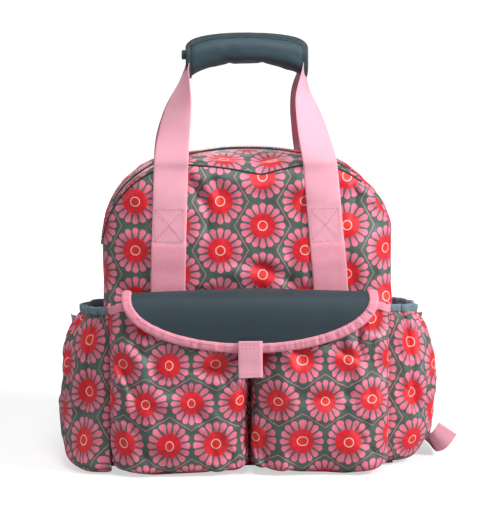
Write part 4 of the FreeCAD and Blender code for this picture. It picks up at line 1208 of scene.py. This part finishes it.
def build_elastic(name, side, edge):
    """Ribbed elastic rim, drawn tight so that it ripples, with a small ruffled corner at the rear seam."""
    path = smooth_path((edge + 3 * MM * UP)[::4], 140)
    path[:, 0] += side * 0.5 * MM * noise(np.linspace(-22, 22, 140), 0.5, 137 + side)
    across = UP + 0.15 * unit(path - path.mean(axis=0))
    rim = closed_tube(f"side_elastic_{name}_band", path, across, rounded(4.4 * MM, 1.7 * MM, 3.4))
    dress(rim, "elastic", "bag", [f"side_elastic_{name}"])
    angle, down = sideward(0, 1, 15), downward(0, 1, 11)
    x = side * (2 + 10 * angle * (1 - 0.35 * down))
    y = 7 * noise(angle * 3.1, down * 2, 139 + side) * angle - 3 * down
    z = 4 * angle - 12 - 17 * down * (0.6 + 0.4 * angle) + 2 * noise(angle * 4, down, 141)
    ruffle = path[96] + stacked(x, y, z) * MM
    frill = sheet(f"side_ruffle_{name}", ruffle, 0.8 * MM, flat_coords(ruffle) + 0.03, flip=side > 0)
    dress(frill, "print", "bag", inner="lining")


# ---- zip ----

LOOP_PITCH = 1.5 * MM
LOOP_STATIONS = ((3.6, 0.5), (2.4, 1), (0.9, 1.05), (0.15, 0.7))


def zip_arc(turn, drop, y):
    x, z = outline_point(turn)
    return stacked(x - drop * np.cos(turn), y, z - drop * np.sin(turn))


def build_zip():
    for place, side in PLACES.items():
        turn = even_turns(161)[:, None]
        depth = sideward(0, 1, 5)
        tape_y = side * (3 + 11 * depth) * MM
        points = zip_arc(turn, (1.5 + 0.9 * depth) * MM, tape_y)
        coords = stacked(tape_y, arc_length(turn))
        tape = sheet(f"zip_tape_{place}_cloth", points, 0.8 * MM, coords, flip=side > 0)
        dress(tape, "tape", "bag", [f"zip_tape_{place}"])
        line = gusset_point(even_turns(420), 0.93, side, 0.2 * MM)
        out = unit(line - (0, 0, 0.2))
        line = line + out * 0.2 * MM
        stitch_rows(f"zip_topstitch_{place}", [line], out, "slate_thread", radius=0.32 * MM)
        build_teeth(place, side)


def build_teeth(place, side):
    """Row of coil loops along the zip."""
    vertices, faces = [], []
    ring = np.linspace(0, 2 * PI, 6, endpoint=False)[:, None]
    for i, phi in enumerate(even_turns(int(ARC[-1] / LOOP_PITCH))):
        out = np.array([np.cos(phi), 0, np.sin(phi)])
        tangent = np.array([-np.sin(phi), 0, np.cos(phi)])
        circle = (np.cos(ring) * tangent * -side * 0.52 + np.sin(ring) * out) * MM
        for y, girth in LOOP_STATIONS:
            vertices.append(zip_arc(phi, 0.6 * MM, side * y * MM) + circle * girth)
        first, last = i * 24, i * 24 + 18
        for base in range(first, last, 6):
            faces += collar(base)
        faces += [first + np.arange(6)[::-1], last + np.arange(6)]
    obj = mesh_object(f"zip_teeth_{place}_coil", np.vstack(vertices), faces)
    dress(obj, "coil", "bag", [f"zip_teeth_{place}"])


# ---- back: yoke, padded straps, buckles and webbing ----

STRAP_FACE = HALF_DEPTH + 5 * MM
STRAP_TOP = 318 * MM
STRAP_SPLAY = math.radians(20)
STRAP_RADIUS = 172 * MM
STRAP_BOW = math.radians(37)
STRAP_CHORD = 2 * STRAP_RADIUS * math.sin(STRAP_BOW)
ANCHOR_X = 142
TAIL_ROUTES = {
    "left": (((-124, 85, 106), (1, 0, 0.3)), ((-130, 88, 92), (1, 0, 0.3)), ((-134, 90, 60), (1, 0, 0.25)),
             ((-129, 96, 38), (1, 0, 0.3)), ((-124.5, 100, 17), (1, 0, 0.3))),
    "right": (((124, 85, 106), (1, 0, -0.3)), ((130, 87, 92), (1, 0, -0.2)), ((146, 90, 58), (0.8, 0, 0.5)),
              ((166, 90, 34), (0.4, 0, 0.9)), ((192, 86, 17), (0.1, 0, 1)), ((213, 66, 14), (0, 0, 1)),
              ((217, 30, 13.5), (0, 0, 1)), ((214, -6, 13.5), (-0.05, 0, 1)),
              ((213.5, -27, 15.5), (-0.2, 0, 1)), ((220.5, -35, 20.5), (-0.5, 0, 0.87)),
              ((230, -36, 34), (-0.76, 0, 0.64))),
}


def strap_line(side, down, y):
    """Point below a strap's top anchor, along the way that the strap hangs."""
    x = side * (52 * MM + down * math.sin(STRAP_SPLAY))
    return stacked(x, y, STRAP_TOP - down * math.cos(STRAP_SPLAY))


def strap_across(side):
    return np.array([math.cos(STRAP_SPLAY), 0, side * math.sin(STRAP_SPLAY)])


def padded_strap(name, side):
    """Bowed strap with foam inside, bound edges and two sewn rows."""
    angle = np.linspace(-STRAP_BOW, STRAP_BOW, 61)
    bow = STRAP_RADIUS * (np.cos(angle) - math.cos(STRAP_BOW))
    path = strap_line(side, STRAP_CHORD / 2 + STRAP_RADIUS * np.sin(angle), STRAP_FACE + bow + 5 * MM)

    def section(share, turn):
        c = np.cos(turn)
        wide = 28.5 * MM * (1 - 0.2 * bump(share, 1, 0.06) - 0.05 * bump(share, 0, 0.04))
        swell = 1 + 0.10 * noise(share * 9, c * 1.4, 151 + side)
        channels = 1 - 0.24 * (bump(c, 0, 0.05) + bump(c, 0.8, 0.05) + bump(c, -0.8, 0.05))
        ends = 1 - 0.55 * bump(share, 0, 0.035) - 0.55 * bump(share, 1, 0.035)
        return rounded(wide, 5.2 * MM * swell * ends * channels, 3.2)(share, turn)

    strap = closed_tube(f"shoulder_strap_{name}_padded", path, strap_across(side), section)
    dress(strap, "slate", f"strap_{name}", [f"shoulder_strap_{name}"])
    width, out = frames_along(path, strap_across(side))
    inset = 28.3 - 5 * bump(downward(1, 0, 56), 0, 0.05)
    for place, edge in (("inner", -1), ("outer", 1)):
        rim = path[2:-3] + width[2:-3] * edge * inset * MM
        label = f"shoulder_strap_{name}_binding_{place}"
        piping = closed_tube(label, rim, out[2:-3], rounded(4.2 * MM, 2.0 * MM, 2.6))
        dress(piping, "binding", f"strap_{name}")
    face = out * np.sign(out[:, 1:2])
    for i, offset in enumerate((-21, 21)):
        line = path + (width * offset + face * 4.6) * MM
        label = f"shoulder_strap_{name}_stitches_{i}"
        stitch_rows(label, [line[3:-3]], face[3:-3], "slate_thread", f"strap_{name}", radius=0.42 * MM)


def lower_webbing(name, side):
    """Webbing from the end of the padded strap through the buckle, and down to its anchor."""
    upper = strap_line(side, STRAP_CHORD + 4.2 * MM, STRAP_FACE + 1.4 * MM)
    lower = np.array([side * ANCHOR_X, 74.4, 33.4]) * MM
    near, far = upper * 0.66 + lower * 0.34, upper * 0.3 + lower * 0.7
    path = smooth_path([upper, near + (0, 1.5 * MM, 0), far + (0, 1 * MM, 0), lower], 40)
    t = downward(0, 1, 40)
    across = (1 - t) * strap_across(side) + t * np.array([1, 0, 0])
    web = ribbon(f"lower_webbing_{name}_strip", path, across, 25 * MM, 1.3 * MM)
    dress(web, "webbing", None, [f"lower_webbing_{name}"])
    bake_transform(web)
    path = smooth_path([(side * ANCHOR_X, y, z) for y, z in ((73.4, 36), (72.9, 26), (72.3, 8))], 14, MM)
    anchor = ribbon(f"strap_anchor_{name}_tab", path, (1, 0, 0), 36 * MM, 2.4 * MM)
    dress(anchor, "slate", "bag", [f"strap_anchor_{name}"])
    lines = []
    for x0, z0, x1, z1 in ((-15, 11, 15, 11), (-15, 30, 15, 30), (-15, 11, 15, 30), (15, 11, -15, 30)):
        x, z = np.linspace(x0, x1, 12) + side * ANCHOR_X, np.linspace(z0, z1, 12)
        lines.append(stacked(x, 74.6, z) * MM)
    stitch_rows(f"strap_anchor_{name}_stitches", lines, (0, 1, 0), "thread")


def webbing_tail(name):
    places, ways = zip(*TAIL_ROUTES[name])
    path, across = smooth_path(places, 80, MM), smooth_path(ways, 80)
    tail = ribbon(f"webbing_tail_{name}_strip", path, across, 25 * MM, 1.4 * MM, wave=0.5 * MM)
    dress(tail, "webbing", f"strap_{name}", [f"webbing_tail_{name}"])


def build_yoke():
    path = smooth_path([(-86, 74.2, 318), (-50, 75.4, 318.5), (0, 74.8, 318), (50, 75.4, 318.5),
                        (86, 74.2, 318)], 60, MM)
    path[:, 1] = HALF_DEPTH + panel_relief(path[:, 0], path[:, 2], 1) + 3.2 * MM
    yoke = ribbon("strap_yoke_webbing", path, UP, 28 * MM, 2.2 * MM, crown=0.5 * MM)
    dress(yoke, "webbing", "bag", ["strap_yoke"])
    lines = [path + np.array([0, 1.7, rise]) * MM for rise in (-11.5, 11.5)]
    stitch_rows("strap_yoke_stitches", lines, (0, 1, 0), "thread")


def build_back():
    build_yoke()
    for name, side in SIDES.items():
        padded_strap(name, side)
        lower_webbing(name, side)
        webbing_tail(name)
    z = np.linspace(26, 286, 90) * MM
    lines = [panel_point(np.full(90, x * MM), z, 1, 0.3 * MM) for x in (-105, -52, 0, 52, 105)]
    stitch_rows("back_panel_quilting", lines, (0, 1, 0), "slate_thread", length=3.2 * MM, gap=1.3 * MM,
                radius=0.42 * MM)


# ---- CAD pieces that stay in view ----

KEPT_NODES = {
    "metal": ["zip_end_stops", "zip_slider_crown", "zip_slider_shoulder", "zip_puller_crown",
              "zip_puller_shoulder"],
    "plastic": ["ladder_lock_left", "ladder_lock_right"],
    "pile": ["hook_patch"],
    "board": ["base_board"],
}
FINE_EDGE, COARSE_EDGE = 0.35 * MM, 0.6 * MM


def finish_cad_pieces():
    """Better material and softened edges for the CAD nodes that stay in view."""
    for material, names in KEPT_NODES.items():
        for name in names:
            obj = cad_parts[name]
            obj.data.materials.clear()
            obj.data.materials.append(MATERIALS[material])
            bevel = obj.modifiers.new("Worn edges", "BEVEL")
            bevel.width = FINE_EDGE if material in ("metal", "pile") else COARSE_EDGE
            bevel.segments = 2
            bevel.limit_method = "ANGLE"


build_shell()
seam_shade_lines()
build_handles()
build_grip()
for pocket_name, pocket_side in SIDES.items():
    pocket_cloth = build_front_pocket(pocket_name, pocket_side)
    build_loop_tape(pocket_name, pocket_side, pocket_cloth)
build_flap()
build_pull_tab()
for pocket_name, pocket_side in SIDES.items():
    build_side_pocket(pocket_name, pocket_side)
build_zip()
build_back()
finish_cad_pieces()

# ---- room, light and camera ----

WORLD_LIGHT = 0.12
LIGHTS = {
    "key": ((1.4, -0.75, 1.05), 0.4, 33),
    "fill": ((-1.9, -0.55, 1.0), 1.0, 8),
    "rear": ((-0.4, 2.2, 1.5), 1.2, 22),
    "top": ((0.0, -0.6, 1.45), 0.5, 10.5),
}
LIGHT_AIM = Vector((0, 0, 0.22))
CAMERA_DISTANCE, CAMERA_TURN, CAMERA_RISE = 2.3, math.radians(-2.5), math.radians(8)
CAMERA_AIM = Vector((0.001, 0, 0.2285))


def aimed(name, data, place, aim):
    """Light or camera at a place, turned towards its aim."""
    obj = bpy.data.objects.new(name, data)
    obj.location = place
    obj.rotation_mode = "QUATERNION"
    obj.rotation_quaternion = (aim - Vector(place)).to_track_quat("-Z", "Y")
    bpy.context.scene.collection.objects.link(obj)
    return obj


def build_floor():
    """Pale floor that curves up into a backdrop far behind the bag."""
    turn = np.linspace(0.1, PI / 2, 12)
    y = np.concatenate([np.linspace(-6, 3, 10), 3 + 1.5 * np.sin(turn), [4.5]])
    z = np.concatenate([np.zeros(10), 1.5 - 1.5 * np.cos(turn), [6]])
    points = stacked(np.linspace(-8, 8, 9), y[:, None], z[:, None])
    floor = mesh_object("floor", points.reshape(-1, 3), grid_faces(len(y), 9)[:, ::-1])
    g = Graph("floor")
    across, away = g.split(g.place())
    glow = (across * across + away * away).sqrt().step(0.3, 2.6) * 0.4 + 0.58
    shade = g.noise(400, 2) * 0.02 + 0.5
    seen = Value(g, g.node("ShaderNodeLightPath").outputs["Is Camera Ray"])
    g.set(Base_Color=g.mix(shade, BLACK, WHITE), Roughness=0.9, Specular_IOR_Level=0.1)
    g.set(Emission_Color=WHITE, Emission_Strength=glow * seen)
    floor.data.materials.append(g.material)


def build_lights():
    """White world that lights the bag only weakly, and four square lamps."""
    world = bpy.data.worlds.new("studio")
    bpy.context.scene.world = world
    world.use_nodes = True
    nodes, links = world.node_tree.nodes, world.node_tree.links
    nodes["Background"].inputs[0].default_value = WHITE
    strength = nodes.new("ShaderNodeMapRange")
    strength.inputs["To Min"].default_value = WORLD_LIGHT
    links.new(nodes.new("ShaderNodeLightPath").outputs["Is Camera Ray"], strength.inputs["Value"])
    links.new(strength.outputs["Result"], nodes["Background"].inputs[1])
    for name, (place, size, power) in LIGHTS.items():
        light = bpy.data.lights.new(name, "AREA")
        light.shape = "RECTANGLE"
        light.size = light.size_y = size
        light.energy = power
        aimed(name, light, place, LIGHT_AIM)


def build_camera():
    """Long lens a little above and to the left, as in product pictures."""
    lens = bpy.data.cameras.new("camera")
    lens.sensor_width = 36
    lens.lens = 140.7
    level = math.cos(CAMERA_RISE)
    back = Vector((math.sin(CAMERA_TURN) * level, -math.cos(CAMERA_TURN) * level, math.sin(CAMERA_RISE)))
    bpy.context.scene.camera = aimed("camera", lens, CAMERA_AIM + back * CAMERA_DISTANCE, CAMERA_AIM)


bpy.context.scene.view_settings.view_transform = "Standard"
build_floor()
build_lights()
build_camera()
